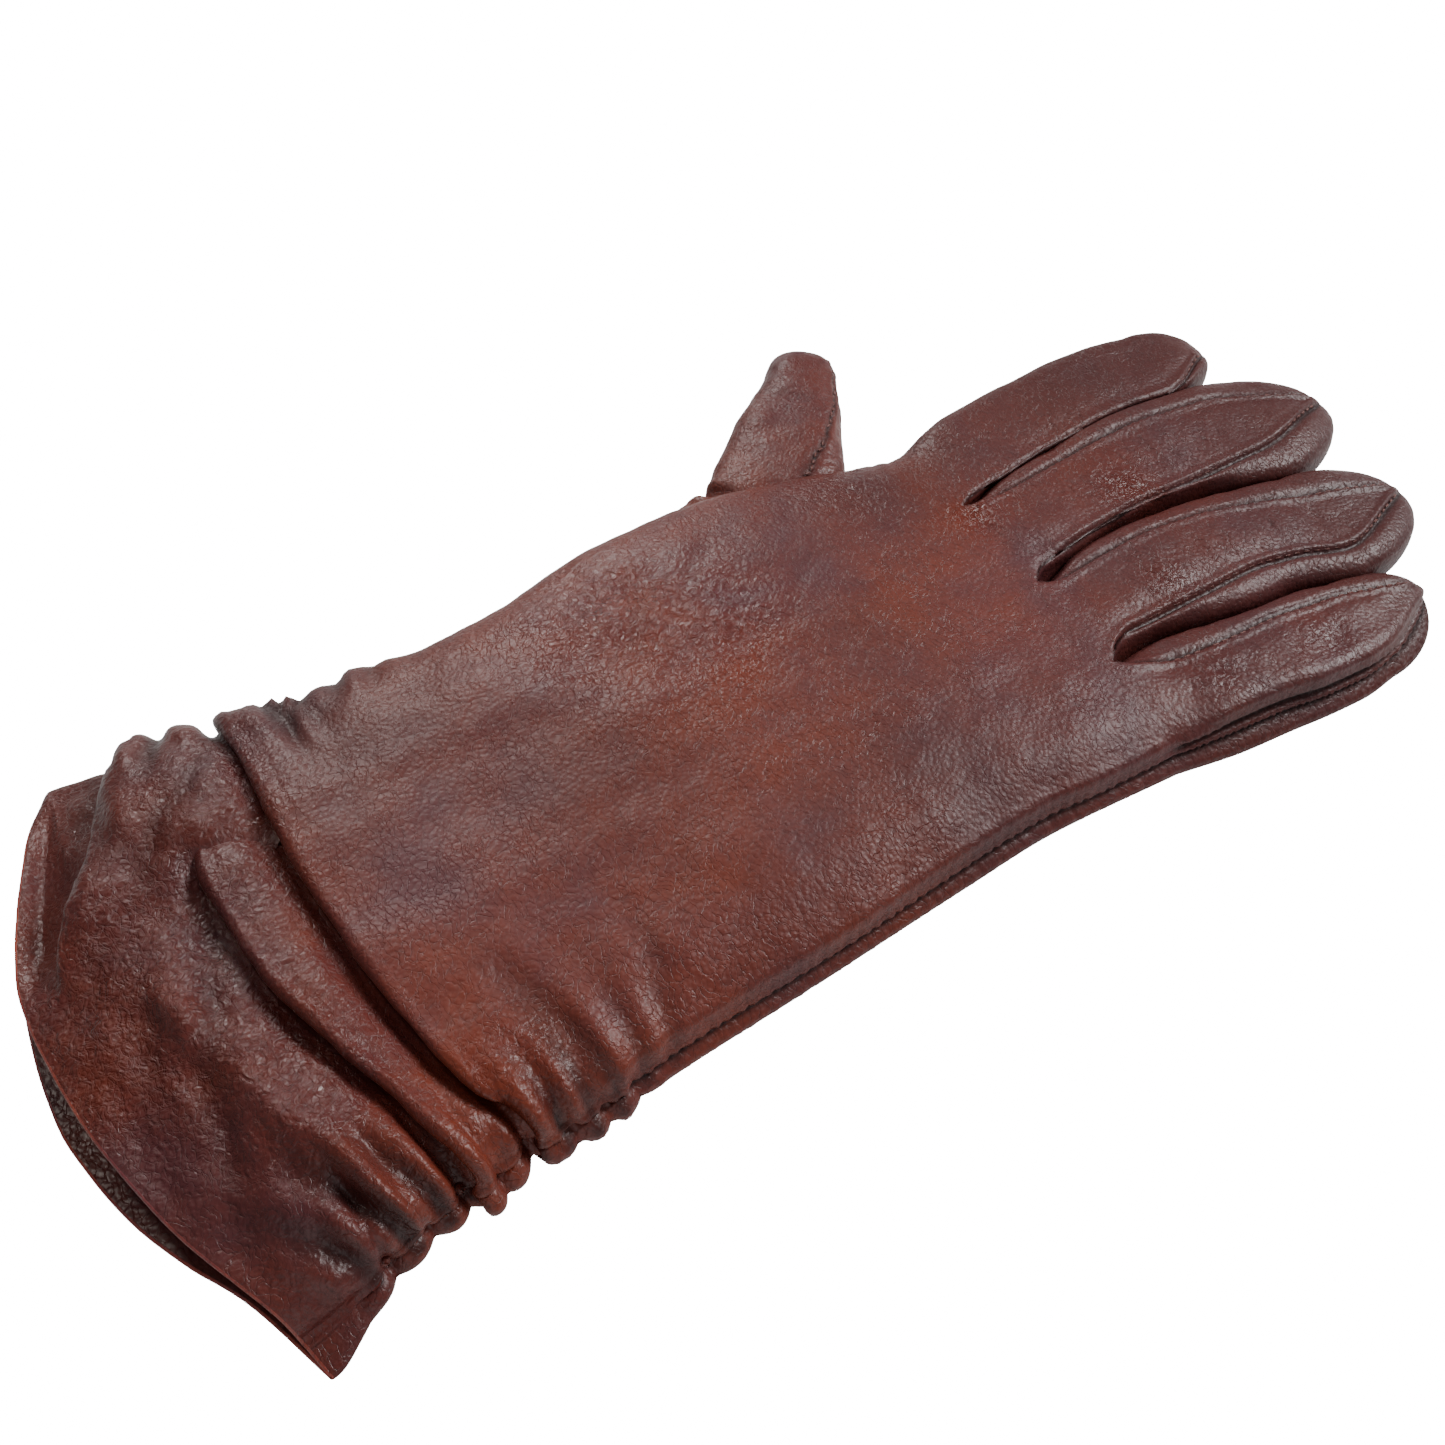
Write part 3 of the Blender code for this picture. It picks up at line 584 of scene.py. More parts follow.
def section(x, inset=0.0):
    """One closed ring of points round the glove for each x; x holds a place for every column."""
    turns, shares = hand_turns(), palm_shares()
    tops = len(turns)
    xt, xs, xb = x[..., :tops], x[..., tops : tops + WALL_COLUMNS], x[..., tops + WALL_COLUMNS :]
    far, ridge, rim = FAR_EDGE(xt), NEAR_RIDGE(xt), EDGE_HEIGHT(xt)
    power = 2 / ROUND(xt)
    y_top = (far + ridge) / 2 + (far - ridge) / 2 * signed_power(np.cos(turns), power)
    z_top = rim + (TOP(xt) - rim) * np.abs(np.sin(turns)) ** power
    ridge_s, edge_s, rim_s = NEAR_RIDGE(xs), NEAR_EDGE(xs), EDGE_HEIGHT(xs)
    y_side = ridge_s + (edge_s - ridge_s) * WALL_SHARES**0.8 + side_profile(WALL_SHARES)
    z_side = rim_s + (rim_s * 0.4 - rim_s) * WALL_SHARES
    far_b, near_b, rim_b = FAR_EDGE(xb), NEAR_EDGE(xb), EDGE_HEIGHT(xb)
    y_base = near_b + (far_b - near_b) * shares
    rise_near = np.clip(1 - shares / 0.045, 0, 1) ** 2 * (rim_b * 0.4 - REST)
    rise_far = np.clip((shares - 0.91) / 0.09, 0, 1) ** 2.2 * (rim_b - REST)
    z_base = REST + rise_near + rise_far
    y, z = np.concatenate([y_top, y_side, y_base], -1), np.concatenate([z_top, z_side, z_base], -1)
    middle = (FAR_EDGE(x) + NEAR_EDGE(x)) / 2
    inset = np.broadcast_to(inset, x.shape)
    under = np.where((shares > 0.05) & (shares < 0.92), -0.4, 0)
    z = z - inset * np.concatenate([np.sin(turns) ** 0.6, np.zeros(WALL_COLUMNS), under])
    y = y - inset * 0.55 * np.tanh((y - middle) / 30)
    return np.stack([x, y, z], -1)


def column_y():
    """Rough place across the glove of every column of a ring."""
    return section(np.full(len(hand_turns()) + WALL_COLUMNS + len(palm_shares()), -70.0))[..., 1]


def puffs(points):
    """Rounded folds where the near edge of the wrist is drawn together."""
    x, y, z = points[..., 0], points[..., 1], points[..., 2]
    turn = math.pi * (x + 0.25 * (y + 46) + 1.4 * ripple(x, y, 30, 61)) / 6.4
    lobe = np.sqrt(np.cos(turn) ** 2 + 0.02) ** 0.6 - 0.62
    zone = ease(y, -30, -45) * ease(x, -57, -66) * ease(x, -113, -104) * ease(z, 0.6, 3)
    far = ease(y, 36, 46) * ease(x, -66, -72) * ease(x, -122, -112) * ease(z, 0.6, 3)
    return lobe * (2.3 * zone + 0.8 * far)


def reach(curve):
    """How far along the glove every column has to run to meet a line across it."""
    x = curve(column_y())
    for _ in range(8):
        x = 0.5 * x + 0.5 * curve(section(x)[..., 1])
    return x


def ring_kind():
    """For every column: 0 on top, 1 on the little finger's side, 2 underneath."""
    return np.repeat([0, 1, 2], [len(hand_turns()), WALL_COLUMNS, len(palm_shares())])


def surface_marks(points, seam, creases=()):
    """Seam darkness together with painted shade in the deep creases, crinkled shine and dusky colour over the glove.
    """
    x, y = points[..., 0], points[..., 1]
    # Deep creases darken the seam mark too: painted shade in the creases.
    seam = seam + 0.45 * np.clip(grooves(x, y, creases), 0, 1.6) * (points[..., 2] > 4)
    shine = 0.35 * ease(x, -84, -96) + patches(x, y, SHINE_PATCHES)
    dusk = 0.4 * ease(x, 40, 60) + 0.4 * ease(x, 80, 118) + 0.35 * ease(x, -85, -105)
    return np.clip(np.stack([seam, shine, dusk + patches(x, y, DUSK_PATCHES)], -1), 0, 1)


def relief(points):
    """Unevenness of the leather over the back of the glove."""
    x, y = points[..., 0], points[..., 1]
    cut = grooves(x, y, KNUCKLE_CREASES) + grooves(x, y, BACK_CREASES)
    soft = 0.28 * ripple(x, y, 34, 11) + 0.16 * ripple(x, y, 15, 12) + 0.05 * ripple(x, y, 5.5, 13)
    return soft - cut


def curled(x, inset, curl):
    """Add rows that roll under past the last one; curl pairs a step along the glove with a depth."""
    steps, depths = np.array(curl).T[:, :, None]
    return np.concatenate([x, x[-1] + steps]), np.concatenate([inset, inset[-1] + depths])


def hand_rings():
    """The hand's rings from the knuckles to the lip of its pleat, then curled under."""
    shares = np.linspace(0, 1, 132)[:, None]
    flat = KNUCKLE_X + (reach(HAND_LIP)[None, :] - KNUCKLE_X) * shares
    points = section(*curled(flat, np.zeros_like(flat), HAND_CURL))
    x, y, z = points[..., 0], points[..., 1], points[..., 2]
    start = ease(np.arange(len(points)), 0, 5)[:, None]
    cut = grooves(x, y, HAND_CREASES) * (ring_kind() < 2) * ease(z, 5, 10)
    swell = 0.3 * hill(HAND_LIP(y) + 4 - x, 5) * ease(z, 8, 14)
    amount = relief(points) * ease(z, 4, 11) - cut + swell
    amount = amount + puffs(points) + welt_of_ring(points) + roll(points, HAND_LIP)
    beside_seam = (np.abs(z - 6.2) < 3.4) * (y < -30)
    pucker = 0.22 * np.sin(math.tau * x / 1.6 + 0.7 * ripple(x, y, 6, 4)) * beside_seam
    return push(points, (amount + pucker) * start, True)


def roll(points, lip):
    """The thin rolled edge where leather folds under at a pleat."""
    away = points[..., 0] - lip(points[..., 1])
    return 0.5 * hill(away - 0.8, 0.8) * ease(points[..., 2], 9, 12)


def welt_of_ring(points):
    """The raised seam along the little finger's side of the back."""
    away = points[..., 1] - NEAR_RIDGE(points[..., 0])
    return 0.55 * hill(away - 0.6, 0.9) * (points[..., 2] > 5.5) * ease(points[..., 0], -72, -60)


def seam_mark_of_ring():
    """The groove along the little finger's side is a seam."""
    mark = np.zeros(len(ring_kind()))
    start = len(hand_turns()) + 3
    mark[start : start + 3] = SIDE_SEAM
    return mark


# ---------------------------------------------------------------- fingers


def fourchette(seam_y, wide_y, low_y, seam_z, share):
    """Across and up from the back panel's seam down a padded gusset, out to where the fingers touch."""
    across = line((0, 0), (0.16, 0.3), (0.32, 0.66), (0.46, 0.92), (0.6, 1.0), (1, 1.001))(share)
    y = seam_y + (wide_y - seam_y) * np.minimum(across, 1) + (low_y - wide_y) * ease(share, 0.7, 1)
    drop = line(
        (0, seam_z), (0.16, seam_z + 0.1), (0.32, seam_z - 0.5), (0.46, seam_z - 1.9), (0.6, WIDEST), (1, 1.4)
    )
    return np.stack([y, drop(share)], -1)


def back_strip(name, far, near, crown, seam_z):
    """Across and up over the back of a finger; the outer fingers round down on their open side."""
    count = BACK_COLUMNS[name]
    share = 0.25 * (1 - np.cos(np.linspace(0, math.pi, count))) + 0.5 * np.linspace(0, 1, count)
    if name == "index":
        y = far + (near - far) * line((0, 0), (0.12, 0.035), (0.25, 0.16), (0.4, 0.33), (1, 1))(share)
        side = np.clip(1 - share / 0.32, 0, 1)
        z = WIDEST + (crown - WIDEST) * np.sqrt(1 - side**2) - (crown - seam_z) * ease(share, 0.72, 1.0)
    elif name == "little":
        y = far + (near - far) * line((0, 0), (0.6, 0.68), (0.78, 0.87), (0.9, 0.975), (1, 1))(share)
        side = np.clip((share - 0.66) / 0.34, 0, 1)
        z = LITTLE_EDGE + (crown - LITTLE_EDGE) * np.sqrt(1 - side**2.4)
        z = z - (crown - seam_z) * ease(share, 0.28, 0.0)
    else:
        y = far + (near - far) * share
        z = seam_z + (crown - seam_z) * (1 - np.abs(2 * share - 1) ** 3)
    return np.stack([y, z], -1)


def palm_strip(name, far, near):
    """Across and up under a finger, turned up at both edges."""
    across = np.linspace(0, 1, PALM_COLUMNS[name])
    z = REST + np.clip(1 - across / 0.14, 0, 1) ** 2 * (2.45 if name == "little" else 1.05)
    z = z + np.clip((across - 0.84) / 0.16, 0, 1) ** 2 * (WIDEST - REST if name == "index" else 1.05)
    return np.stack([near + (far - near) * across, z], -1)


def finger_rings(name, hand_ring):
    """A finger's rings from the knuckles to its tip, starting on the hand's own ring."""
    spec = FINGERS[name]
    tip_x, tip_y = spec["tip"]
    close, crown, seam_z = spec["close"], spec["thick"], spec["thick"] - 0.9
    far_line, near_line, far_seam, near_seam = (
        line(*spec[part]) if part in spec else None for part in ("far", "near", "seam_far", "seam_near")
    )
    rounded = close + (tip_x - close) * np.sin(np.linspace(0, math.pi / 2, 26))
    xs = np.concatenate([np.arange(KNUCKLE_X, close, 0.7), rounded])
    rings = []
    for x in xs:
        held = min(x, close)
        past = (x - held) / (tip_x - close)
        far = float(far_line(held)) - FINGER_GAP * (name != "index")
        near = float(near_line(held)) + FINGER_GAP * (name != "little")
        seam_far = float(far_seam(held)) if far_seam else far
        seam_near = float(near_seam(held))
        centre = (far + near) / 2
        gather = TIP_GATHER * float(ease(x, close - 4, tip_x - 1.5))
        seam_near += (centre - seam_near) * gather
        seam_far += (centre - seam_far) * gather * (name != "index")
        low_near = near if name == "little" else near + 1.4
        low_far = far if name == "index" else far - 1.4
        if name == "little":
            y = seam_near + (near - seam_near) * WALL_SHARES**0.8 + side_profile(WALL_SHARES)
            wall = np.stack([y, LITTLE_EDGE + (2.8 - LITTLE_EDGE) * WALL_SHARES], -1)
        else:
            wall = fourchette(seam_near, near, low_near, seam_z, WALL_SHARES)
        palm = palm_strip(name, low_far, low_near)
        ring = [back_strip(name, seam_far, seam_near, crown, seam_z), wall]
        if name == "index":
            ring += [palm[:-1]]
        else:
            ring += [palm, fourchette(seam_far, far, low_far, seam_z, 1 - WALL_SHARES)]
        ring = np.concatenate(ring)
        shrink = math.sqrt(max(0.0004, 1 - past**2))
        slim = 1 - 0.16 * float(ease(x, 70, tip_x - 6))
        ring[:, 0] = centre + (tip_y - centre) * past**1.5 + (ring[:, 0] - centre) * shrink
        ring[:, 1] = REST + (ring[:, 1] - REST) * slim
        ring[:, 1] = TIP_HEIGHT + (ring[:, 1] - TIP_HEIGHT) * shrink**0.75
        rings.append(np.concatenate([np.full((len(ring), 1), x), ring], 1))
    points = np.array(rings)
    blend = 1 - ease(xs, KNUCKLE_X, KNUCKLE_X + 13)
    return xs, points + (hand_ring - points[0]) * blend[:, None, None]


def columns_before(counts, order, name):
    """How many columns come before a finger's own in a strip."""
    return sum(counts[other] - 1 for other in order[: order.index(name)])


def finger_hand_ring(name, ring):
    """The points of the hand's end ring where a finger starts."""
    order, tops = list(FINGERS), len(hand_turns())
    first = columns_before(BACK_COLUMNS, order, name)
    back = ring[first : first + BACK_COLUMNS[name]]
    under = np.concatenate([ring[tops + WALL_COLUMNS :], ring[:1]])
    first = columns_before(PALM_COLUMNS, order[::-1], name)
    palm = under[first : first + PALM_COLUMNS[name]]
    wall = WALL_SHARES[:, None]
    if name == "little":
        near = ring[tops : tops + WALL_COLUMNS]
    else:
        near = back[-1] + (palm[0] - back[-1]) * wall
    if name == "index":
        return np.concatenate([back, near, palm[:-1]])
    return np.concatenate([back, near, palm, palm[-1] + (back[0] - palm[-1]) * wall])


def finger_surface(name, hand_ring):
    """A finger's rings with creases, seams and marks."""
    xs, points = finger_rings(name, finger_hand_ring(name, hand_ring))
    backs, tip_x = BACK_COLUMNS[name], FINGERS[name]["tip"][0]
    along = xs[:, None]
    fade = ease(along, KNUCKLE_X, KNUCKLE_X + 4) * ease(along, tip_x - 0.4, tip_x - 5)
    amount = relief(points) * ease(points[..., 2], 6, 10)
    seam = np.zeros(points.shape[:2])
    on_back = np.arange(points.shape[1]) < backs
    for edge in (backs - 1,) if name == "index" else (0, backs - 1):
        away = np.linalg.norm(points - points[:, edge : edge + 1], axis=2)
        stitch = 0.5 + 0.5 * np.sin(math.tau * points[..., 0] / 2.1)
        welt = hill(away - 1.3, 0.65) * (on_back * 0.42 + 0.2)
        amount = amount - 0.5 * hill(away, 0.5) + welt * (0.75 + 0.5 * stitch)
        seam = np.maximum(seam, 0.85 * hill(away, 0.36))
    if name == "little":
        groove = slice(backs + 3, backs + 6)
        seam[:, groove] = np.maximum(seam[:, groove], SIDE_SEAM)
        band = slice(backs, backs + WALL_COLUMNS)
        amount[:, band] += 0.2 * np.sin(math.tau * points[:, band, 0] / 1.6)
    return xs, push(points, amount * fade, True), seam * ease(along, KNUCKLE_X - 1, KNUCKLE_X + 2)


def seam_path(points, column, inward, first, last):
    """Where the stitches of a seam lie: a little inside the back panel."""
    a, b = points[first:last, column], points[first:last, column + inward * 4]
    away = b - a
    away = away / np.maximum(np.linalg.norm(away, axis=1, keepdims=True), 1e-9)
    return a + away * 0.75


# ---------------------------------------------------------------- wrist bands


def lip_profile(past):
    """How deep a band lies beneath the lip before it, from how far it has come out from under it."""
    return line((-12, 4.3), (-1.5, 4.3), (1.2, 3.9), (3.2, 2.9), (6, 1.5), (9, 0.6), (12, 0.1), (14, 0))(past)


def runs_out():
    """1 on the thumb's side, where the second pleat dies away into the cuff."""
    return ease(column_y(), 17, 27)


def pleat_rings():
    """The band between the two pleats."""
    shares = np.linspace(0, 1, 46)[:, None]
    lip, end = reach(HAND_LIP), reach(PLEAT_LIP)
    flat = lip + 8 + (end - lip - 8) * shares
    inset = lip_profile(lip - flat) + 1.6 * runs_out() * ease(lip - flat, -4, 1)
    points = section(*curled(flat, inset, PLEAT_CURL))
    x, y, z = points[..., 0], points[..., 1], points[..., 2]
    soft = 0.15 * ripple(x, y, 16, 21) + 0.072 * ripple(x, y, 6, 22)
    swell = 0.3 * hill(x - PLEAT_LIP(y) - 3.5, 4)
    amount = (soft + swell) * ease(z, 6, 12) + puffs(points) + roll(points, PLEAT_LIP)
    return push(points, amount - grooves(x, y, PLEAT_CREASES) * ease(z, 5, 10), True)


def cuff_rings():
    """The flared end, from under the pleat to the hem; its back is shorter than its palm."""
    out = runs_out()
    lip, before = reach(PLEAT_LIP), reach(HAND_LIP)
    start = lip + 11 + (before + 10 - lip - 11) * out
    hem = np.where(ring_kind() == 2, reach(PALM_HEM), reach(BACK_HEM))
    shares = np.linspace(0, 1, 92)[:, None]
    flat = start + (hem - start) * shares
    points = section(flat, lip_profile(lip - flat) * (1 - out) + lip_profile(before - flat) * out)
    x, y, z = points[..., 0], points[..., 1], points[..., 2]
    thumb_side = ease(y, 6, 20)
    soft = 0.4 * ripple(x, y, 30, 31) + 0.2 * ripple(x, y, 13, 32) + 0.1 * ripple(x, y, 4.5, 33)
    fold = line((-20, -135), (12, -131), (20, -127), (28, -122), (36, -119.5), (44, -116), (54, -112))(y)
    ridge = line((-60, -98), (-41, -102), (-28, -109), (-20, -113), (-8, -116), (0, -120), (12, -124))(y)
    step = 4.2 * ease(x, fold - 1.0, fold + 0.4) - 2.8
    bulge = (step + 1.6 * hill(x - fold - 4, 5)) * thumb_side + 1.2 * hill(x - ridge, 3.2) * ease(y, 14, -4)
    amount = (soft + bulge) * ease(z, 3.5, 9) - grooves(x, y, CUFF_CREASES) * ease(z, 4, 9) + puffs(points)
    return push(points, amount * (1 - 0.75 * ease(shares, 0.94, 1.0)), True)


# ---------------------------------------------------------------- thumb

THUMB_ROOT = (9.0, 42.0)
THUMB_TIP = (51.2, 85.6)
THUMB_FAR = line(
    (0, 18.6), (4, 18.2), (9, 16.8), (11.6, 14.4), (13.6, 13.4), (21, 13.3), (30, 12.5), (41, 10.9),
    (54, 8.6),
)
THUMB_NEAR = line((0, 13.6), (25, 13.0), (33, 11.2), (43, 8.9), (54, 6.6))
THUMB_TOP = line((0, 7.5), (12, 8.6), (22, 9.8), (40, 10.4), (62, 9.8))
THUMB_HEIGHT = 4.2
THUMB_CREASES = [
    ((6, 63), 292, 17, 1.5, 0.9, 0.2, False), ((8, 60), 312, 12, 0.8, 0.9, -0.2, False),
    ((3, 60), 300, 9, 0.5, 1.1, 0.0, False), ((36, 72), 130, 8, 0.2, 0.9, 0.0, True),
    ((41, 78), 125, 7, 0.2, 0.8, 0.0, True), ((44, 80), 140, 6, 0.15, 0.7, 0.0, True),
    ((26, 66), 130, 8, 0.2, 1.2, 0.0, True),
]


def thumb_surface():
    """The thumb's rings from inside the hand to its tip."""
    root, tip = np.array(THUMB_ROOT), np.array(THUMB_TIP)
    length = float(np.linalg.norm(tip - root))
    forward = (tip - root) / length
    across = np.array([-forward[1], forward[0]])
    close = length - 10.5
    rounded = close + (length - close) * np.sin(np.linspace(0, math.pi / 2, 22))
    along = np.concatenate([np.arange(0, close, 0.8), rounded])
    turns = np.linspace(0, math.tau, 61)[:-1]
    cos, sin = np.cos(turns), np.sin(turns)
    rings = []
    for a in along:
        held = min(a, close)
        shrink = math.sqrt(max(0.0004, 1 - ((a - held) / (length - close)) ** 2))
        half = np.where(cos > 0, THUMB_FAR(held), THUMB_NEAR(held))
        side = half * signed_power(cos, 0.72) * shrink + 1.8 * float(ease(a, 40, 60))
        over = (float(THUMB_TOP(held)) - THUMB_HEIGHT) * signed_power(sin, 0.75)
        rise = np.where(sin > 0, over, 3.85 * signed_power(sin, 0.6))
        plan = root + forward * a + np.outer(side, across)
        rings.append(np.concatenate([plan, (THUMB_HEIGHT + rise * shrink**0.75)[:, None]], 1))
    points = np.array(rings)
    x, y = points[..., 0], points[..., 1]
    seam_turn = line((0, 72), (22, 68), (30, 57), (44, 40), (52, 34), (62, 20))(along)[:, None]
    from_seam = np.abs(np.degrees(turns) - (180 - seam_turn))
    from_seam = np.minimum(from_seam, 360 - from_seam)
    groove = hill(from_seam, 3.2)
    amount = 0.25 * ripple(x, y, 18, 41) + 0.08 * ripple(x, y, 6, 42) - grooves(x, y, THUMB_CREASES)
    amount = amount * ease(points[..., 2], 3, 7) - 0.35 * groove + 0.3 * hill(from_seam - 8, 4)
    amount = amount * (1 - ease(along, length - 3, length))[:, None]
    return push(points, amount, True), along, np.argmin(from_seam, axis=1), groove


# ---------------------------------------------------------------- materials


def node(tree, kind, **values):
    made = tree.nodes.new(kind)
    for name, value in values.items():
        setattr(made, name, value)
    return made


def wire(tree, source, target):
    """Feed a socket from another socket, or give it a plain value."""
    if isinstance(source, bpy.types.NodeSocket):
        tree.links.new(source, target)
    else:
        target.default_value = source


def noise(tree, place, scale, detail=2.0, roughness=0.5, distortion=0.0):
    """The outputs of a cloudy pattern; scale is in clouds per metre."""
    made = node(tree, "ShaderNodeTexNoise")
    values = {"Vector": place, "Scale": scale, "Detail": detail, "Roughness": roughness}
    for name, value in {**values, "Distortion": distortion}.items():
        wire(tree, value, made.inputs[name])
    return made.outputs


def ranged(tree, source, start, end, low=0.0, high=1.0):
    """A value taken from one range to another, and kept inside it."""
    made = node(tree, "ShaderNodeMapRange")
    values = {"Value": source, "From Min": start, "From Max": end, "To Min": low, "To Max": high}
    for name, value in values.items():
        wire(tree, value, made.inputs[name])
    return made.outputs[0]


def maths(tree, operation, *values, kind="ShaderNodeMath"):
    """One sum of sockets and plain values."""
    made = node(tree, kind, operation=operation)
    for socket, value in zip(made.inputs, values):
        wire(tree, value, socket)
    return made.outputs[0]


def bumped(tree, shader, height, strength, distance):
    """Stand a finish up by a height, over a distance in metres."""
    bump = node(tree, "ShaderNodeBump")
    for name, value in {"Strength": strength, "Distance": distance, "Height": height}.items():
        wire(tree, value, bump.inputs[name])
    wire(tree, bump.outputs[0], shader.inputs["Normal"])


def fresh_material(name):
    """A new material with its node tree and its shader."""
    finish = bpy.data.materials.new(name)
    finish.use_nodes = True
    return finish, finish.node_tree, finish.node_tree.nodes["Principled BSDF"]


def grain_group():
    """Leather grain: pebbles, pores and hair-fine cracks, as a height and a mask."""
    group = bpy.data.node_groups.new("leather_grain", "ShaderNodeTree")
    group.interface.new_socket(name="Place", in_out="INPUT", socket_type="NodeSocketVector")
    for name, value in (("Pebble scale", 1250.0), ("Crack depth", 0.5)):
        socket = group.interface.new_socket(name=name, in_out="INPUT", socket_type="NodeSocketFloat")
        socket.default_value = value
    for name in ("Height", "Mottle"):
        group.interface.new_socket(name=name, in_out="OUTPUT", socket_type="NodeSocketFloat")
    inlet, outlet = node(group, "NodeGroupInput"), node(group, "NodeGroupOutput")
    place = inlet.outputs["Place"]
    pebble = node(group, "ShaderNodeTexVoronoi", feature="SMOOTH_F1")
    wire(group, 0.6, pebble.inputs["Smoothness"])
    wire(group, place, pebble.inputs["Vector"])
    wire(group, inlet.outputs["Pebble scale"], pebble.inputs["Scale"])
    vectors = "ShaderNodeVectorMath"
    warp = noise(group, place, 260.0)["Color"]
    bend = maths(group, "MULTIPLY_ADD", warp, (0.005, 0.005, 0.005), place, kind=vectors)
    cracks = node(group, "ShaderNodeTexVoronoi", feature="DISTANCE_TO_EDGE")
    wire(group, 560.0, cracks.inputs["Scale"])
    wire(group, maths(group, "MULTIPLY", bend, (1.5, 0.62, 1.0), kind=vectors), cracks.inputs["Vector"])
    split = ranged(group, cracks.outputs["Distance"], 0.0, 0.07)
    whole = ranged(group, noise(group, place, 55.0)["Fac"], 0.42, 0.62, 0.0, 0.55)
    deep = maths(group, "MULTIPLY", maths(group, "MAXIMUM", split, whole), inlet.outputs["Crack depth"])
    wire(group, maths(group, "SUBTRACT", deep, pebble.outputs["Distance"]), outlet.inputs["Height"])
    wire(group, noise(group, place, 34.0, 5.0, 0.62)["Fac"], outlet.inputs["Mottle"])
    return group


def mark_reader(tree, name):
    """One of the marks that a skin carries over its surface."""
    return node(tree, "ShaderNodeAttribute", attribute_name=name, attribute_type="GEOMETRY").outputs["Fac"]


def mixed(tree, share, first, second):
    """A mix of two colours, each a socket or a plain colour."""
    mix = node(tree, "ShaderNodeMix", data_type="RGBA")
    wire(tree, share, mix.inputs[0])
    for socket, colour in ((mix.inputs[6], first), (mix.inputs[7], second)):
        wire(tree, (*colour, 1.0) if isinstance(colour, tuple) else colour, socket)
    return mix.outputs[2]


def shaded(colour, share):
    """A colour made darker or lighter."""
    return tuple(part * share for part in colour)


def leather_material(name, looks, grain, tint=1.0, roughness=0.4):
    """Semi-gloss leather with smudged colour, dark seams with painted shade in the creases, and a crinkled shine."""
    finish, tree, shader = fresh_material(name)
    place = node(tree, "ShaderNodeTexCoord").outputs["Object"]
    group = node(tree, "ShaderNodeGroup", node_tree=grain)
    wire(tree, place, group.inputs["Place"])
    wire(tree, looks.pebble_scale, group.inputs["Pebble scale"])
    pebbles, mottle = group.outputs["Height"], group.outputs["Mottle"]
    seam, crinkle, dusk = (mark_reader(tree, mark) for mark in MARKS)
    base, smudge, dark = (shaded(colour, tint) for colour in (looks.leather, looks.smudge, looks.dark))
    blotch = noise(tree, place, 11.0, 3.0)["Fac"]
    colour = mixed(tree, ranged(tree, mottle, 0.38, 0.68), base, smudge)
    colour = mixed(tree, ranged(tree, blotch, 0.45, 0.75, 0.0, 0.6), colour, dark)
    colour = mixed(tree, dusk, colour, dark)
    colour = mixed(tree, ranged(tree, pebbles, -0.75, 0.1, 0.35, 0.0), colour, shaded(dark, 0.45))
    # Darker along the seams, and painted shade where the creases are deep.
    wire(tree, mixed(tree, seam, colour, shaded(dark, 0.3)), shader.inputs["Base Color"])
    rough = ranged(tree, crinkle, 0.0, 1.0, roughness, roughness - 0.2)
    wire(tree, maths(tree, "MULTIPLY_ADD", mottle, 0.1, rough), shader.inputs["Roughness"])
    wire(tree, 0.3, shader.inputs["Specular IOR Level"])
    strength = maths(tree, "MULTIPLY_ADD", crinkle, 1.5, 0.12)
    crumple = maths(tree, "SUBTRACT", noise(tree, place, 520.0, 5.0, 0.5, 1.2)["Fac"], 0.5)
    height = maths(tree, "MULTIPLY_ADD", pebbles, 0.28, maths(tree, "MULTIPLY", crumple, strength))
    bumped(tree, shader, height, 0.55, 0.0007)
    return finish


def woven_material(name, colour, scale, roughness):
    """A knit or woven cloth with fine ribs."""
    finish, tree, shader = fresh_material(name)
    place = node(tree, "ShaderNodeTexCoord").outputs["Object"]
    wave = node(tree, "ShaderNodeTexWave", wave_type="BANDS", bands_direction="X")
    for socket, value in {"Vector": place, "Scale": scale, "Distortion": 1.5}.items():
        wire(tree, value, wave.inputs[socket])
    ribs = wave.outputs["Fac"]
    wire(tree, mixed(tree, ribs, shaded(colour, 0.6), tuple(colour)), shader.inputs["Base Color"])
    wire(tree, roughness, shader.inputs["Roughness"])
    bumped(tree, shader, ribs, 0.4, 0.0003)
    return finish


# ---------------------------------------------------------------- settings


class GLOVE_sizes(bpy.types.PropertyGroup):
    """Sizes that a maker would change."""

    stitch_length: bpy.props.FloatProperty(
        name="Stitch length", description="Length of one stitch",
        default=0.00135, min=0.0005, max=0.004, unit="LENGTH"
    )
    stitch_pitch: bpy.props.FloatProperty(
        name="Stitch pitch", description="From one stitch to the next",
        default=0.0021, min=0.001, max=0.006, unit="LENGTH"
    )
    thread_radius: bpy.props.FloatProperty(
        name="Thread radius", description="Half the thread's thickness",
        default=0.00023, min=0.0001, max=0.0005, unit="LENGTH"
    )
    leather_thickness: bpy.props.FloatProperty(
        name="Leather thickness", description="Thickness at the hem",
        default=0.001, min=0.0004, max=0.002, unit="LENGTH"
    )


